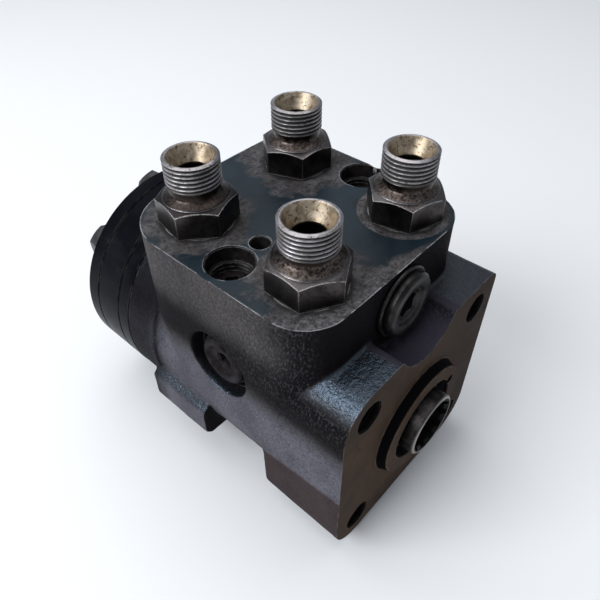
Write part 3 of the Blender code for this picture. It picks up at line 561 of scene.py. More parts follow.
def flange_metal():
    """Milled flange face gone brown with thin rust and old oil, the side of its boss laid near black as
    painted shade.
    """
    s = Surface("browned_machined_iron")
    broad = s.noise(0.014, 5.0, 0.6, 0.5)
    fine = s.noise(0.0008, 3.0, 0.6)
    s.colour = s.mix(s.ramp(broad, 0.3, 0.72), (0.03, 0.0165, 0.0095), (0.072, 0.0435, 0.027))
    s.lay((0.014, 0.0085, 0.0065), s.ramp(s.part("X"), -0.005, 0.034, 0.0, 0.55))
    s.lay((0.013, 0.01, 0.009), s.ramp(s.noise(0.006, 5.0, 0.7), 0.56, 0.72), 0.6)
    s.lay((0.2, 0.17, 0.15), s.wear(0.0006, 0.004, 0.35, 0.6, 0.01, 0.12), 0.7)
    # painted shade: the side of the boss is laid near black with almost no reflection
    sunk = s.ramp(s.station, -BOSS_HEIGHT + 0.0001, -BOSS_HEIGHT + 0.0005)
    wall = s.times(sunk, s.fall(s.station, -0.0002, -0.0001))
    s.lay((0.003, 0.003, 0.0035), wall)
    roughness = s.ramp(broad, 0.3, 0.7, 0.64, 0.82)
    lines = s.noise(0.0007, 2.0, 0.5, vector=s.stretched(0.05, 1.0, 1.0))
    skin = s.bump(s.plus(fine, s.times(lines, 0.8)), 0.00004, 0.8)
    return s.finish(roughness, skin, 0.0, shine=s.between(wall, 0.1, 0.01))


def bore_metal():
    """Bored and drilled surfaces: bare iron darkened by oil, with turning marks, and painted shade in the
    front stretch of the bores and round the side plug.
    """
    s = Surface("bored_iron")
    broad = s.noise(0.004, 4.0, 0.6)
    s.colour = s.blotches(broad, (0.005, 0.0045, 0.0045), (0.024, 0.02, 0.019))
    s.lay((0.4, 0.38, 0.36), s.wear(0.0004, 0.002, 0.3, 0.6))
    # painted shade: the front stretch of the bores, the flange holes with it, is laid near black and loses
    # its sheen
    front = s.fall(s.station, FLANGE_HOLE_DEPTH, FLANGE_HOLE_DEPTH + 0.002)
    s.lay((0.006, 0.005, 0.005), front, 0.85)
    # painted shade round the side plug
    side = s.fall(side_plug_reach(s), 0.0128, 0.0136)
    bore_shade = s.most(front, side)
    s.lay((0.008, 0.007, 0.008), side, 0.7)
    marks = s.noise(0.0004, 2.0)
    return s.finish(s.ramp(broad, 0.3, 0.7, 0.4, 0.58), s.bump(marks, 0.00003, 0.6),
                    s.between(bore_shade, 0.1, 0.0), shine=s.between(bore_shade, 0.15, 0.01))


# Metal materials ----------------------------------------------

def adapter_steel():
    """Zinc plated fitting: bright worn crests and rims, black grime in the thread and neck."""
    s = Surface("worn_zinc_steel")
    broad = s.noise(0.006, 4.0, 0.6)
    fine = s.noise(0.0009, 4.0, 0.65)
    height = s.less(s.part("Z"), PORT_Z)
    radius = port_reach(s)
    threaded = s.ramp(height, 0.0138, 0.0146)
    steel = s.blotches(broad, (0.22, 0.205, 0.2), (0.44, 0.42, 0.43))
    flats = s.blotches(broad, (0.026, 0.021, 0.02), (0.07, 0.062, 0.06))
    top = s.ramp(s.normal_part("Z"), 0.25, 0.7)
    rear = s.ramp(s.station, PORT_MIDDLE - 0.002, PORT_MIDDLE + 0.002)
    rear_left = s.times(s.fall(s.part("X"), -0.002, 0.002), rear)
    upper = s.mix(rear_left, (0.09, 0.08, 0.08), (0.03, 0.026, 0.027))
    flats = s.coat(flats, upper, s.times(top, s.ramp(radius, 0.0088, 0.01)))
    s.colour = s.mix(threaded, flats, steel)
    neck = s.times(s.ramp(height, 0.0094, 0.01), s.fall(height, 0.0138, 0.0146))
    rust = s.mix(s.ramp(fine, 0.35, 0.65), (0.02, 0.013, 0.01), (0.13, 0.105, 0.092))
    rust = s.coat(rust, (0.016, 0.011, 0.009), s.ramp(height, 0.0112, 0.0128))
    rust = s.coat(rust, (0.024, 0.018, 0.015), rear_left, 0.6)
    s.lay(rust, s.times(neck, s.ramp(height, 0.0104, 0.0116, 0.8, 1.0)))
    root = s.times(s.fall(radius, 0.0078, 0.0083), s.fall(height, 0.0216, 0.0219), threaded)
    s.lay((0.01, 0.008, 0.008), root, 0.93)
    dirt = s.times(s.nook(0.0016, 0.45, 0.95), s.ramp(fine, 0.3, 0.55, 0.5, 1.0))
    s.lay((0.014, 0.011, 0.009), dirt, 0.85)
    s.lay((0.02, 0.016, 0.014), s.ramp(s.noise(0.0011, 5.0, 0.7), 0.57, 0.63), 0.75)
    worn = s.wear(0.0006, 0.0022, 0.3, 0.5, 0.01, 0.14)
    s.lay((0.54, 0.52, 0.51), s.times(worn, s.ramp(height, 0.0094, 0.0102, 1.0, 0.15)), 0.9)
    shade = s.most(dirt, root)
    roughness = s.ramp(s.plus(shade, s.times(fine, 0.5)), 0.1, 1.2, 0.3, 0.72)
    skin = s.bump(s.plus(fine, s.times(broad, 0.7)), 0.00006, 0.8)
    metallic = s.other(s.times(shade, 0.75))
    return s.finish(roughness, skin, metallic)


def cone_chromate():
    """Seat cone inside a fitting: yellow chromate with dark oil specks."""
    s = Surface("yellow_chromate")
    broad = s.noise(0.004, 4.0, 0.6, 1.0)
    s.colour = s.blotches(broad, (0.22, 0.165, 0.105), (0.45, 0.37, 0.28))
    specks = s.ramp(s.noise(0.0012, 5.0, 0.7), 0.54, 0.62)
    s.lay((0.045, 0.03, 0.018), specks, 0.8)
    # painted shade: the hole below the cone is laid near black
    deep = s.fall(s.part("Z"), PORT_Z + 0.0166, PORT_Z + 0.018)
    s.lay((0.008, 0.006, 0.005), deep)
    rings = s.noise(0.0006, 2.0, 0.5, vector=s.stretched(0.2, 0.2, 1.0))
    return s.finish(s.ramp(broad, 0.3, 0.7, 0.3, 0.5), s.bump(rings, 0.00004, 0.7), 0.85)


def plain_metal(name, dark, light, rough, metallic=0.9, grain=0.001, grime=0.6, shine=0.5, rub=0.8):
    """Worn steel with blotches, fine scratches, rubbed edges and grime in its corners."""
    s = Surface(name)
    broad = s.noise(grain * 5.0, 4.0, 0.6, 0.4)
    fine = s.noise(grain, 4.0, 0.6)
    s.colour = s.blotches(broad, dark, light)
    dirt = s.times(s.nook(0.0025), s.ramp(fine, 0.3, 0.6))
    s.lay((0.022, 0.018, 0.015), s.times(dirt, grime))
    worn = s.wear(0.0004, 0.0016, 0.32, 0.55)
    s.lay([min(3.2 * part + 0.08, 0.8) for part in light], s.times(worn, rub))
    roughness = s.ramp(s.plus(fine, dirt), 0.3, 1.4, rough - 0.08, rough + 0.22)
    return s.finish(roughness, s.bump(fine, 0.00004, 0.7), metallic, shine=shine)


def spool_steel():
    """Spool neck: ground steel under oil, bright on its front rim, and laid black in its splines as painted
    shade.
    """
    s = Surface("oiled_spool_steel")
    radius = s.reach(s.part("X"), s.height)
    broad = s.noise(0.004, 4.0, 0.6, 0.4)
    fine = s.noise(0.0008, 4.0, 0.6)
    s.colour = s.blotches(broad, (0.036, 0.032, 0.031), (0.078, 0.071, 0.069))
    s.lay((0.018, 0.014, 0.013), s.ramp(fine, 0.54, 0.64, 0.0, 0.6))
    # painted shade: inside the neck, splines and all, is laid near black and loses its metal sheen
    inside = s.fall(radius, 0.0104, 0.0107)
    s.lay((0.004, 0.004, 0.004), inside, 0.94)
    front = s.fall(s.part("Y"), FRONT_RIM, FRONT_RIM + 0.0006)
    s.lay((0.36, 0.33, 0.31), s.times(front, s.ramp(radius, 0.0104, 0.0107, 0.0, 0.8)))
    return s.finish(s.ramp(broad, 0.3, 0.7, 0.3, 0.46), s.bump(fine, 0.00003, 0.6),
                    s.other(inside), shine=0.06)


def gear_paint():
    """Glossy blue-black paint on the turned rear plates, with soft haze and scuffs."""
    s = Surface("glossy_black_paint")
    broad = s.noise(0.018, 4.0, 0.6, 0.6)
    fine = s.noise(0.0012, 3.0, 0.6)
    s.colour = s.mix(s.ramp(broad, 0.35, 0.75), (0.0022, 0.0022, 0.0036), (0.007, 0.0066, 0.009))
    scuffs = s.ramp(s.noise(0.004, 6.0, 0.75, vector=s.stretched(1.0, 0.3, 1.0)), 0.58, 0.7)
    s.lay((0.035, 0.033, 0.032), scuffs, 0.3)
    s.lay((0.22, 0.2, 0.18), s.wear(0.0005, 0.005, 0.46, 0.62), 0.6)
    s.lay((0.016, 0.014, 0.013), s.nook(0.003), 0.5)
    roughness = s.ramp(s.plus(broad, s.times(scuffs, 0.5)), 0.35, 1.1, 0.3, 0.56)
    skin = s.bump(s.plus(fine, s.times(s.noise(0.006), 2.0)), 0.00005, 0.6)
    return s.finish(roughness, skin, 0.0, shine=0.04, tint=(0.62, 0.78, 1.0))


def rubber():
    """Black nitrile rubber with a dusty bloom and fine mould grain."""
    s = Surface("nitrile_rubber")
    bloom = s.noise(0.003, 4.0, 0.6)
    grain = s.noise(0.0004, 2.0)
    s.colour = s.mix(s.ramp(bloom, 0.4, 0.75), (0.009, 0.009, 0.009), (0.034, 0.032, 0.03))
    return s.finish(s.ramp(bloom, 0.3, 0.7, 0.55, 0.8), s.bump(grain, 0.00003, 0.6))


PALETTE = {
    "cast": cast_paint(),
    "face": face_paint(),
    "flange": flange_metal(),
    "bore": bore_metal(),
    "adapter": adapter_steel(),
    "cone": cone_chromate(),
    "gear": gear_paint(),
    "bolt": plain_metal("blackened_steel", (0.03, 0.03, 0.032), (0.075, 0.072, 0.07), 0.42, 0.8),
    "plug": plain_metal("worn_plug_steel", (0.02, 0.016, 0.016), (0.07, 0.06, 0.06), 0.42),
    "dark_plug": plain_metal("dark_worn_steel", (0.01, 0.009, 0.009), (0.042, 0.038, 0.038), 0.44, 0.8,
                             grime=0.8, shine=0.3, rub=0.55),
    # side plug and its washer: dark oiled steel with painted shade of its recess, near black and almost
    # without reflection
    "side_plug": plain_metal("oiled_and_shaded_black_steel", (0.008, 0.007, 0.008), (0.03, 0.026, 0.028), 0.46, 0.0,
                             grime=0.8, shine=0.01, rub=0.3),
    "spool_end": spool_steel(),
    "spring": plain_metal("spring_steel", (0.14, 0.15, 0.18), (0.34, 0.35, 0.38), 0.3, 1.0, 0.0006),
    "ground": plain_metal("ground_steel", (0.3, 0.3, 0.3), (0.52, 0.52, 0.51), 0.24, 1.0, 0.0006, 0.4),
    "hardened": plain_metal("hardened_steel", (0.22, 0.215, 0.21), (0.44, 0.43, 0.42), 0.28, 1.0,
                            0.0008, 0.5),
    "rubber": rubber(),
}


# Housing ------------------------------------------------------

def port_block_outline():
    """Plan of the port block seen from above, a block with four different round corners."""
    front, rear = FRONT_WALL, PORT_BLOCK_END
    left, right = -PORT_BLOCK_LEFT, PORT_BLOCK_RIGHT
    front_left, front_right, rear_right, rear_left = PORT_BLOCK_CORNERS
    outline = arc((right - front_right, front + front_right), front_right, -90.0, 0.0, 16)
    outline += arc((right - rear_right, rear - rear_right), rear_right, 0.0, 90.0, 16)
    outline += arc((left + rear_left, rear - rear_left), rear_left, 90.0, 180.0, 16)
    outline += arc((left + front_left, front + front_left), front_left, 180.0, 270.0, 16)
    return outline


def flange_outline():
    """Front view of the mounting flange, with the round notch between its two ears."""
    half, top, low = FLANGE_HALF_WIDTH, EAR_TOP, FLANGE_BOTTOM
    corner, left, right = FLANGE_CORNER_BOTTOM, EAR_CORNER_LEFT, EAR_CORNER_RIGHT
    reach = math.degrees(math.asin((top - RELIEF_HEIGHT) / NOTCH_RADIUS))
    points = arc((-half + corner, low + corner), corner, 180.0, 270.0, 12)
    points += arc((half - corner, low + corner), corner, -90.0, 0.0, 12)
    points += arc((half - right, top - right), right, 0.0, 90.0, 10)
    points += arc((0.0, RELIEF_HEIGHT), NOTCH_RADIUS, reach, -180.0 - reach, 40)
    points += arc((-half + left, top - left), left, 90.0, 180.0, 20)
    return points


def lug_outline(side):
    """Section of a side lug: flat outside, chamfered above and below."""
    low_chamfer, high_chamfer = 0.0025, 0.005
    points = [(LUG_INNER, LUG_LOW), (LUG_OUTER - low_chamfer, LUG_LOW), (LUG_OUTER, LUG_LOW + low_chamfer),
              (LUG_OUTER, LUG_HIGH - high_chamfer), (LUG_OUTER - high_chamfer, LUG_HIGH),
              (LUG_INNER, LUG_HIGH)]
    return [(side * x, height) for x, height in points]


def rough_casting():
    """The casting before its skin: port block, barrel, flange block, rear collar and lugs."""
    spare = 0.004
    collar = [(PORT_BLOCK_END - 0.0085, BODY_RADIUS - 0.001), (PORT_BLOCK_END - 0.0055, GEAR_SECTION_RADIUS),
              (HOUSING_END + spare, GEAR_SECTION_RADIUS)]
    return united(prism("Z", port_block_outline(), -spare, PORT_FACE + spare),
                  turned("Y", [(BARREL_START, BODY_RADIUS), (PORT_BLOCK_END, BODY_RADIUS)]),
                  prism("Y", flange_outline(), -spare, FLANGE_BLOCK_END),
                  turned("Y", collar),
                  *(prism("Y", lug_outline(side), LUG_START, LUG_END) for side in (1.0, -1.0)))


def cast_skin(mesh):
    """Remesh the casting, round its corners and give it the uneven skin of a sand mould."""
    item = shown(mesh)
    remesh = item.modifiers.new("skin", "REMESH")
    remesh.mode = "VOXEL"
    remesh.voxel_size = SKIN_VOXEL
    soften = item.modifiers.new("soften", "SMOOTH")
    soften.factor = 0.5
    soften.iterations = 12
    skin = evaluated(item)
    points, normals = (np.empty(len(skin.vertices) * 3) for _ in range(2))
    skin.vertices.foreach_get("co", points)
    skin.vertices.foreach_get("normal", normals)
    points, normals = points.reshape(-1, 3), normals.reshape(-1, 3)
    lift = np.full(len(points), -SKIN_LOSS)
    for size, height in SKIN_WAVES:
        lift += [height * noise.noise(Vector(point) / size) for point in points]
    points += normals * lift[:, None]
    skin.vertices.foreach_set("co", points.ravel())
    skin.update()
    return skin


def port_positions():
    half = PORT_PITCH / 2.0
    return [(x, PORT_MIDDLE + y) for x in (-half, half) for y in (-half, half)]


def bolt_positions():
    angles = [math.pi / 2.0 + math.tau * index / BOLT_COUNT for index in range(BOLT_COUNT)]
    return [polar(BOLT_CIRCLE, angle) for angle in angles]


def thread_rows(start, end, radius, depth, step=0.00015):
    """Profile rows of a threaded stretch, its helix fading out at both ends."""
    count = max(2, round(abs(end - start) / step))
    shares = [index / count for index in range(count + 1)]
    return [(start + (end - start) * share, radius, depth * min(1.0, 12.0 * share, 12.0 * (1.0 - share)))
            for share in shares]


def port_cutter():
    top, seat, floor = PORT_FACE, PORT_FACE - PORT_RECESS_DEPTH, PORT_FACE - PORT_THREAD_DEPTH
    return turned("Z", [(top + SPARE, PORT_RECESS), (seat, PORT_RECESS), (seat, PORT_THREAD),
                        (floor, PORT_THREAD), (floor, PORT_DRILLING), (-0.002, PORT_DRILLING)], FINE)


def shock_cutter():
    """Stepped well with a threaded middle stretch."""
    top, drilling = PORT_FACE, 0.0042
    rows = [(top + SPARE, 0.0084), (top, 0.0078), (top - 0.0004, SHOCK_WELL), (top - 0.0046, SHOCK_WELL)]
    rows += thread_rows(top - 0.0048, top - 0.014, SHOCK_WELL, 0.0009)
    rows += [(top - 0.0142, drilling), (top - 0.027, drilling)]
    return turned("Z", rows, FINE, pitch=0.0015)


def housing_cutters():
    """Everything that is machined into the casting, as separate closed shapes."""
    mouth, rear = -BOSS_HEIGHT, HOUSING_END + SPARE
    bore = [(mouth - SPARE, 0.0165), (mouth, 0.0156), (mouth + 0.001, 0.0146), (0.0026, 0.0145),
            (0.0026, 0.0121), (0.004, 0.0121), (0.004, 0.017), (0.0085, 0.017), (0.0085, MAIN_BORE),
            (rear, MAIN_BORE)]
    check = [(PORT_FACE - 0.018, CHECK_BORE), (PORT_FACE - 0.0003, CHECK_BORE), (PORT_FACE, 0.0034),
             (PORT_FACE + SPARE, 0.0045)]
    relief = [(FRONT_WALL - 0.0012, 0.0126), (FRONT_WALL, 0.0126), (FRONT_WALL, RELIEF_BORE),
              (0.024, RELIEF_BORE), (0.024, 0.006), (0.049, 0.006)]
    side = [(-0.0395, 0.012), (SIDE_SPOT_FACE, 0.012), (SIDE_SPOT_FACE, 0.006), (-0.022, 0.006)]
    tapped = [(-SPARE, FLANGE_HOLE_RADIUS + 0.0012), (0.0005, FLANGE_HOLE_RADIUS - 0.0001)]
    tapped += thread_rows(0.0008, FLANGE_HOLE_DEPTH - 0.001, FLANGE_HOLE_RADIUS, 0.0005)
    tapped += [(FLANGE_HOLE_DEPTH, FLANGE_HOLE_RADIUS - 0.0008)]
    dowel = [(mouth - SPARE, DOWEL_RADIUS), (0.002, DOWEL_RADIUS)]
    bolt = [(BOLT_TIP - 0.002, BOLT_RADIUS + GAP), (rear, BOLT_RADIUS + GAP)]
    half = FLANGE_HOLE_PITCH / 2.0
    return [[turned("Y", bore)],
            [moved(port_cutter(), x, station, 0.0) for x, station in port_positions()],
            [moved(shock_cutter(), x, PORT_MIDDLE, 0.0) for x in (-SHOCK_BORE_OFFSET, SHOCK_BORE_OFFSET)]
            + [moved(turned("Z", check, FINE), CHECK_BORE_OFFSET, PORT_MIDDLE, 0.0)],
            [moved(turned("Y", relief, FINE), 0.0, 0.0, RELIEF_HEIGHT)],
            [moved(turned("X", side, FINE), 0.0, SIDE_PLUG_STATION, SIDE_PLUG_HEIGHT)],
            [moved(turned("Y", tapped, COARSE), x, 0.0, z) for x in (-half, half) for z in (-half, half)]
            + [moved(turned("Y", dowel, PLAIN), DOWEL_X, 0.0, DOWEL_HEIGHT)],
            [moved(turned("Y", bolt, PLAIN), x, 0.0, z) for x, z in bolt_positions()]]


def housing_looks(mesh, cut_slot):
    """Which look each face of the housing has: 0 cast, 1 port face, 2 flange or 3 bore."""
    tight, flange_reach = 0.00002, 0.03
    looks = []
    for face in mesh.polygons:
        x, station, height = face.center
        if face.material_index == cut_slot:
            looks.append(3)
        elif face.normal.z > 0.99 and height > PORT_FACE - tight:
            looks.append(1)
        elif station < tight and (math.hypot(x, height) < flange_reach or face.normal.y < -0.99):
            looks.append(2)
        else:
            looks.append(3 if station > HOUSING_END - tight else 0)
    return looks


def build_housing():
    """Cast skin, then the milled faces and the boss, then every bore, each cut face marked."""
    recess = turned("X", [(-0.05, 0.015), (-0.043, 0.0131), (-0.0405, SIDE_SPOT_RADIUS),
                          (SIDE_SPOT_FACE, SIDE_SPOT_RADIUS)], FINE)
    skin = cast_skin(cut(rough_casting(), moved(recess, 0.0, SIDE_PLUG_STATION, SIDE_PLUG_HEIGHT)))
    body = combined(skin, "INTERSECT", block((-0.06, 0.0, -0.06), (0.06, HOUSING_END, PORT_FACE)))
    bevel = 0.0004
    boss = [(SPARE, BOSS_FOOT), (0.0, BOSS_FOOT), (-bevel, BOSS_FOOT - bevel),
            (-BOSS_HEIGHT + bevel, BOSS_RADIUS + 0.0003), (-BOSS_HEIGHT, BOSS_RADIUS)]
    body = united(body, turned("Y", boss))
    kept, machined = (bpy.data.materials.new(name) for name in ("kept", "machined"))
    body.materials.clear()
    body.materials.append(kept)
    for group in housing_cutters():
        tool = merged(group)
        tool.materials.append(machined)
        body = cut(body, tool)
    looks = housing_looks(body, body.materials.find(machined.name))
    item = piece("housing_body", seated(body), "housing_casting", "valve_housing", "cast", "face", "flange",
                 "bore", sharp=38.0)
    item.data.polygons.foreach_set("material_index", looks)


# Ports --------------------------------------------------------

HEXAGON_TURN = {"front_left": 29.0, "rear_left": 19.0, "front_right": 43.0, "rear_right": 51.0}


def chamfered_hexagon(axis, flats, low, high, turn, corner=0.0003):
    """Hexagon with a 30 degree chamfer turned on its high end."""
    tip = flats / math.sqrt(3.0)
    inner = flats * 0.475
    drop = (tip - inner) * math.tan(math.radians(30.0))
    barrel = [(low, tip + SPARE), (high - drop, tip + SPARE), (high - drop, tip), (high, inner)]
    return combined(prism(axis, rounded_hexagon(flats, corner, turn), low - SPARE, high + SPARE),
                    "INTERSECT", turned(axis, barrel, FINE))


def adapter_mesh(turn):
    """Port adapter about its own axis, with its thread, seat cone and chamfered hexagon."""
    low, hole, throat = -0.0125, 0.0047, 0.0174
    outer = [(low, 0.008), (low + 0.0007, 0.0087), (0.0002, 0.0087), (0.0004, 0.0102), (0.0092, 0.0104),
             (0.0095, 0.0102), (0.0098, 0.0097), (0.0102, 0.009), (0.0106, 0.0083), (0.011, 0.0078),
             (0.0114, 0.0076), (0.0134, 0.0076), (0.0138, 0.008)]
    outer += thread_rows(0.014, 0.022, 0.0085, 0.0008, 0.0001)
    outer += [(0.0221, 0.0083), (0.0223, 0.008), (0.0224, 0.0077)]
    inner = [(0.0224, 0.0074), (0.0223, 0.0072), (0.022, 0.007), (0.0176, 0.0049), (throat, hole),
             (low, hole)]
    body = turned("Z", outer + inner, FINE, closed=True)
    return cut(united(body, chamfered_hexagon("Z", 0.022, 0.0003, 0.0094, turn)),
               turned("Z", [(low - SPARE, hole), (throat, hole)], FINE))


def build_adapters():
    cone_reach, cone_floor = 0.00725, -0.01
    for place, turn in HEXAGON_TURN.items():
        node = f"port_adapter_{place}"
        low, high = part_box(node)
        mesh = adapter_mesh(turn)
        cone = [int(math.hypot(*face.center[:2]) < cone_reach and face.center.z > cone_floor)
                for face in mesh.polygons]
        moved(mesh, (low[0] + high[0]) / 2.0, (low[1] + high[1]) / 2.0, PORT_Z)
        item = piece(f"fitting_{place}", mesh, "adapter_steel", node, "adapter", "cone")
        item.data.polygons.foreach_set("material_index", cone)


def socket_cut(mesh, axis, flats, start, depth, turn):
    """Cut a hexagon socket with a conical mouth, opening at start against the axis."""
    hole = prism(axis, rounded_hexagon(flats, 0.0002, turn), start - SPARE, start + depth)
    mouth = turned(axis, [(start - SPARE, flats * 0.66 + SPARE), (start, flats * 0.66),
                          (start + 0.0009, flats * 0.5)], FINE)
    return cut(mesh, hole, mouth)


def disc_rows(low, high, radius, chamfer, rear_chamfer=None):
    rear = rear_chamfer or chamfer
    return [(low, radius - chamfer), (low + chamfer, radius), (high - rear, radius), (high, radius - rear)]


def holed(axis, rows, hole, sides=FINE):
    """Turn a profile round an axis and close it with a plain hole."""
    return turned(axis, rows + [(rows[-1][0], hole), (rows[0][0], hole)], sides, closed=True)


def build_relief_plug():
    """Screw plug with a stepped collar, on its washer in the notch."""
    front, back, collar = RELIEF_PLUG_FRONT, FRONT_WALL - 0.0017, 0.0087
    rows = [(front + 0.0012, 0.005), (front + 0.001, 0.006), (front + 0.0002, 0.0066), (front, 0.007),
            (front, 0.0094), (front + 0.0003, 0.01), (front + 0.0011, 0.0107), (back - 0.0008, 0.0108),
            (back - 0.0002, 0.0106), (back, 0.0104), (back, collar)]
    rows += thread_rows(FRONT_WALL + 0.001, 0.0212, collar, 0.0006)
    rows += [(0.0215, 0.008)]
    mesh = socket_cut(turned("Y", rows, FINE), "Y", 0.008, front + 0.0012, 0.0048, 12.0)
    low, high, rim, edge = FRONT_WALL - 0.0014, FRONT_WALL - GAP, 0.0118, 0.0114
    washer = holed("Y", [(low, edge), (low + 0.0003, rim), (high - 0.0003, rim), (high, edge)], RELIEF_BORE)
    for name, shape, slot, node in (("relief_screw", mesh, "plug_steel", "relief_plug"),
                                    ("relief_sealing_washer", washer, "washer_metal", "relief_washer")):
        piece(name, seated(shape, height=RELIEF_HEIGHT), slot, node, "dark_plug")


def build_side_plug():
    front, neck = SIDE_PLUG_FRONT, 0.0057
    rows = [(front + 0.0013, 0.0048), (front + 0.0012, 0.0056), (front + 0.0002, 0.0064), (front, 0.0068),
            (front, 0.0079), (front + 0.0003, 0.0084), (front + 0.0008, 0.0088), (-0.0375, 0.0088),
            (-0.0374, 0.0087), (-0.0374, neck)]
    rows += thread_rows(-0.035, -0.0238, neck, 0.0005)
    rows += [(-0.0235, 0.0052)]
    mesh = socket_cut(turned("X", rows, FINE), "X", 0.005, front + 0.0013, 0.0028, 8.0)
    washer = holed("X", disc_rows(-0.0371, -0.0361, 0.0097, 0.0003), 0.006)
    for name, shape, slot, node in (("side_screw", mesh, "plug_steel", "side_plug"),
                                    ("side_sealing_washer", washer, "washer_metal", "side_washer")):
        seated(shape, 0.0, SIDE_PLUG_STATION, SIDE_PLUG_HEIGHT)
        piece(name, shape, slot, node, "side_plug")


def build_shock_plugs():
    for name, x in (("left", -SHOCK_BORE_OFFSET), ("right", SHOCK_BORE_OFFSET)):
        rows = [(-0.013, 0.006), (-0.0127, 0.0063)]
        rows += thread_rows(-0.0126, -0.0086, 0.0063, 0.0004)
        rows += [(-0.0084, 0.006), (-0.008, 0.0055)]
        hole = prism("Z", rounded_hexagon(0.006, 0.0002, 20.0), -0.011, -0.007)
        mesh = seated(cut(turned("Z", rows, FINE), hole), x, PORT_MIDDLE, PORT_FACE)
        piece(f"shock_screw_{name}", mesh, "plug_steel", f"shock_plug_{name}", "plug")


# Spool end ----------------------------------------------------

def stations(node):
    """Front and rear stations of a node's box."""
    return [corner[1] - FACE_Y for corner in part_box(node)]


def spline_outline(inner, outer, teeth):
    """Internal spline with rounded flanks, its teeth as wide as its gaps."""
    points = []
    pitch = math.tau / teeth
    for tooth in range(teeth):
        for radius, share in ((inner, -0.22), (inner, 0.0), (inner, 0.22), (outer - 0.0002, 0.29),
                              (outer, 0.34), (outer, 0.5), (outer, 0.66), (outer - 0.0002, 0.71)):
            points.append(polar(radius, pitch * (tooth + share)))
    return points


def build_spool():
    """The spool's splined neck and its slotted body."""
    front, end = stations("control_spool")
    shoulder = stations("control_sleeve")[0]
    radius, neck, bore, bevel = 0.014, 0.0116, 0.0108, 0.0003
    rows = [(front, 0.0108), (front + 0.0002, 0.0111), (front + 0.0007, neck), (shoulder - 0.0006, neck),
            (shoulder, 0.012), (shoulder, radius - bevel), (shoulder + bevel, radius), (end - bevel, radius),
            (end, radius - bevel)]
    mesh = cut(turned("Y", rows),
               prism("Y", spline_outline(0.0092, 0.0104, 12), front - SPARE, 0.012),
               turned("Y", [(front - SPARE, 0.0114), (front, 0.0106), (front + 0.0012, 0.0094)]),
               turned("Y", [(0.0115, bore), (end + SPARE, bore)]))
    pin_low, pin_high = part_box("cross_pin")
    pin_station = sum(stations("cross_pin")) / 2.0
    pin_slot = (pin_high[2] - pin_low[2]) / 2.0 + 0.0006
    reach = 0.015
    spread = reach * math.sin(math.radians(10.0))
    for start, stop, half in ((pin_station - pin_slot, pin_station + pin_slot, pin_slot),
                              (0.017, 0.024, 0.0024)):
        fan = [(-reach, -half - spread), (0.0, -half), (reach, -half - spread), (reach, half + spread),
               (0.0, half), (-reach, half + spread)]
        mesh = cut(mesh, prism("Y", fan, start, stop))
    grooves, half_width, depth = 6, 0.0014, 0.0012
    for index in range(grooves):
        groove = block((-half_width, 0.05, radius - depth), (half_width, 0.09, radius + SPARE))
        groove.transform(Matrix.Rotation(math.tau * (index + 0.5) / grooves, 4, "Y"))
        mesh = cut(mesh, groove)
    piece("spool_body", seated(mesh), "ground_steel", "control_spool", "spool_end", body="spool")


def build_dust_seal():
    rows = [(0.0001, 0.0125), (0.0003, 0.0138), (0.0006, 0.0142), (0.0022, 0.0142), (0.0022, 0.0127),
            (0.0012, 0.0124), (0.0002, 0.012)]
    mesh = seated(turned("Y", rows, closed=True))
    piece("dust_lip_seal", mesh, "nitrile_rubber", "dust_seal", "rubber", sharp=50.0)


# Gear section -------------------------------------------------

def bolt_hole_cutters(low, high):
    rows = [(low - SPARE, BOLT_RADIUS + GAP), (high + SPARE, BOLT_RADIUS + GAP)]
    return merged([moved(turned("Y", rows, MEDIUM), x, 0.0, z) for x, z in bolt_positions()])


def seal_groove(start, end):
    outer, inner = 0.0286, 0.027
    return turned("Y", [(start, outer), (end, outer), (end, inner), (start, inner)], closed=True)


def gear_plate(name, node, mesh, *tools):
    """Cut and show one of the painted plates behind the housing."""
    piece(name, seated(cut(mesh, *tools)), "gear_section_paint", node, "gear")


def build_distributor_plate():
    start, end = stations("distributor_plate")
    ports = []
    for index in range(BOLT_COUNT):
        x, z = polar(0.0215, math.pi / 2.0 + math.tau * (index + 0.5) / BOLT_COUNT)
        port = turned("Y", [(start - SPARE, 0.003), (end + SPARE, 0.003)], MEDIUM)
        ports.append(moved(port, x, 0.0, z))
    gear_plate("channel_plate", "distributor_plate",
               holed("Y", disc_rows(start, end, GEAR_SECTION_RADIUS, PLATE_CHAMFER), 0.0112, ROUND),
               bolt_hole_cutters(start, end), seal_groove(start - SPARE, start + SEAL_DEPTH),
               seal_groove(end - SEAL_DEPTH, end + SPARE), merged(ports))


def lobe_outline(arc_steps=24, root_steps=6):
    """Inside of the gear ring: seven round lobes joined by arcs of the root circle."""
    lobe_centre, lobe_radius, root = 0.027, 0.0068, 0.0259
    meet = (lobe_centre ** 2 + root ** 2 - lobe_radius ** 2) / (2.0 * lobe_centre * root)
    half = math.acos(meet)
    pitch = math.tau / BOLT_COUNT
    outline = []
    for lobe in range(BOLT_COUNT):
        middle = math.pi / 2.0 + pitch * lobe
        centre, first = polar(lobe_centre, middle), polar(root, middle - half)
        start = math.atan2(first[1] - centre[1], first[0] - centre[0])
        swing = (middle + math.pi - start) % math.tau
        if swing > math.pi:
            swing -= math.tau
        outline += arc(centre, lobe_radius, math.degrees(start), math.degrees(start + 2.0 * swing), arc_steps)
        for step in range(1, root_steps):
            outline.append(polar(root, middle + half + (pitch - 2.0 * half) * step / root_steps))
    return outline


def build_gear_ring():
    start, end = stations("gerotor_ring")
    gear_plate("gear_ring", "gerotor_ring",
               turned("Y", disc_rows(start, end, GEAR_SECTION_RADIUS, PLATE_CHAMFER)),
               prism("Y", lobe_outline(), start - SPARE, end + SPARE), bolt_hole_cutters(start, end))


def build_end_cover():
    start, end = stations("end_cover")
    gear_plate("rear_cover", "end_cover",
               turned("Y", disc_rows(start, end, GEAR_SECTION_RADIUS, PLATE_CHAMFER, 0.0012)),
               bolt_hole_cutters(start, end), seal_groove(start - SPARE, start + SEAL_DEPTH))


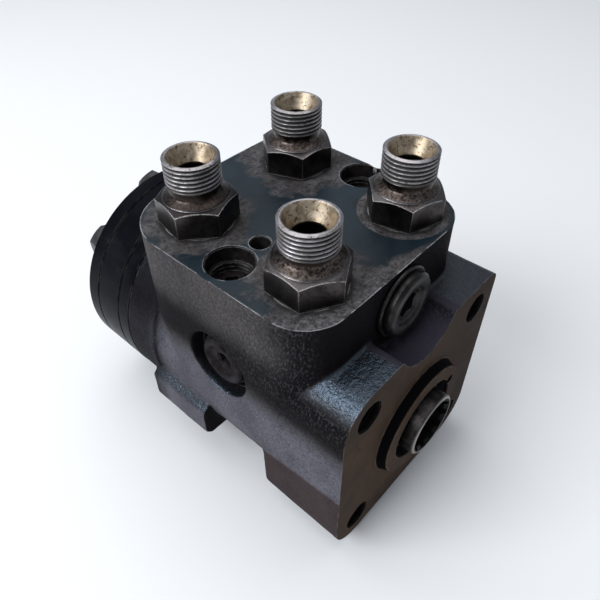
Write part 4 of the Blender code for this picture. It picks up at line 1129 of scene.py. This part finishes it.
def build_cover_bolts():
    """Cover bolts and their washers, each head turned by its own angle."""
    head_end = CAD_BOX[1][1] - FACE_Y
    head_start = head_end - BOLT_HEAD_HEIGHT
    low, high = stations("bolt_washer_1")
    rows = [(BOLT_TIP, BOLT_RADIUS - 0.0006), (BOLT_TIP + 0.0006, BOLT_RADIUS)]
    rows += thread_rows(BOLT_TIP + 0.0008, BOLT_TIP + 0.012, BOLT_RADIUS, 0.0005)
    rows += [(head_start + SPARE, BOLT_RADIUS)]
    for index, (x, z) in enumerate(bolt_positions(), start=1):
        head = chamfered_hexagon("Y", BOLT_HEAD_FLATS, head_start, head_end, 17.0 * index, 0.0002)
        bolt = seated(united(turned("Y", rows, MEDIUM, pitch=BOLT_PITCH), head), x, 0.0, z)
        piece(f"cover_screw_{index}", bolt, "blackened_bolts", f"cover_bolt_{index}", "bolt")
        washer = holed("Y", disc_rows(low, high, 0.0074, 0.0002), BOLT_RADIUS + GAP, COARSE)
        seated(washer, x, 0.0, z)
        piece(f"screw_washer_{index}", washer, "washer_metal", f"bolt_washer_{index}", "bolt")


# Kept CAD nodes -----------------------------------------------

KEPT_NODES = {
    "ground": "control_sleeve gerotor_rotor bearing_race_outer bearing_race_inner needle_cage",
    "hardened": "cross_pin drive_shaft drive_spacer shock_ball_left shock_ball_right check_ball check_bush"
                " relief_poppet relief_seat",
    "spring": "centering_spring_upper centering_spring_lower shock_spring_left shock_spring_right"
              " relief_spring",
    "rubber": "housing_o_ring ring_o_ring cover_o_ring shaft_seal port_seal_front_left port_seal_rear_left"
              " port_seal_front_right port_seal_rear_right",
}


def dress_kept_nodes():
    for kind, names in KEPT_NODES.items():
        for name in names.split():
            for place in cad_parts[name].material_slots:
                place.material = PALETTE[kind]


# Stage --------------------------------------------------------

CAMERA_PLACE = (-0.11181, -0.11273, 0.20743)
CAMERA_AZIMUTH = -0.835788
CAMERA_ELEVATION = 0.76452
CAMERA_ROLL = -0.007306
CAMERA_LENS = 34.72


def build_camera():
    azimuth, elevation = CAMERA_AZIMUTH, CAMERA_ELEVATION
    back = Vector((math.sin(azimuth) * math.cos(elevation), -math.cos(azimuth) * math.cos(elevation),
                   math.sin(elevation)))
    right = Vector((0.0, 0.0, 1.0)).cross(back).normalized()
    up = back.cross(right)
    c, s = math.cos(CAMERA_ROLL), math.sin(CAMERA_ROLL)
    rolled_right, rolled_up = c * right + s * up, c * up - s * right
    data = bpy.data.cameras.new("camera")
    data.lens = CAMERA_LENS
    data.sensor_width = 36.0
    data.clip_start = 0.01
    camera = shown(data, "camera")
    camera.matrix_world = Matrix.Translation(CAMERA_PLACE) @ Matrix(
        (rolled_right, rolled_up, back)).transposed().to_4x4()
    bpy.context.scene.camera = camera


def area_light(name, place, target, size, power, colour=(1.0, 1.0, 1.0)):
    data = bpy.data.lights.new(name, "AREA")
    data.shape = "RECTANGLE"
    data.size, data.size_y = size
    data.energy = power
    data.color = colour
    light = shown(data, name)
    light.location = place
    light.rotation_euler = (Vector(target) - Vector(place)).to_track_quat("-Z", "Y").to_euler()


def build_stage():
    floor = shown(block((-3.0, -3.0, -0.02), (3.0, 3.0, -0.0002)), "floor")
    s = Surface("pale_floor")
    s.colour = s.mix(s.noise(0.6, 2.0), (0.8, 0.8, 0.8), (0.84, 0.84, 0.84))
    floor.data.materials.append(s.finish(0.85))
    world = bpy.data.worlds.new("studio")
    world.use_nodes = True
    world.node_tree.nodes["Background"].inputs["Color"].default_value = (0.8, 0.86, 0.95, 1.0)
    world.node_tree.nodes["Background"].inputs["Strength"].default_value = 0.45
    bpy.context.scene.world = world
    middle = (0.0, 0.0, 0.05)
    area_light("window", (-0.75, 0.25, 0.75), middle, (0.7, 0.5), 9.0, (0.92, 0.96, 1.0))
    area_light("ceiling", (0.1, 0.3, 1.1), middle, (1.2, 1.2), 7.0)
    bpy.context.scene.view_settings.view_transform = "Standard"


build_camera()
build_stage()
build_housing()
build_adapters()
build_relief_plug()
build_side_plug()
build_shock_plugs()
build_spool()
build_dust_seal()
build_distributor_plate()
build_gear_ring()
build_end_cover()
build_cover_bolts()
dress_kept_nodes()

bpy.context.view_layer.update()
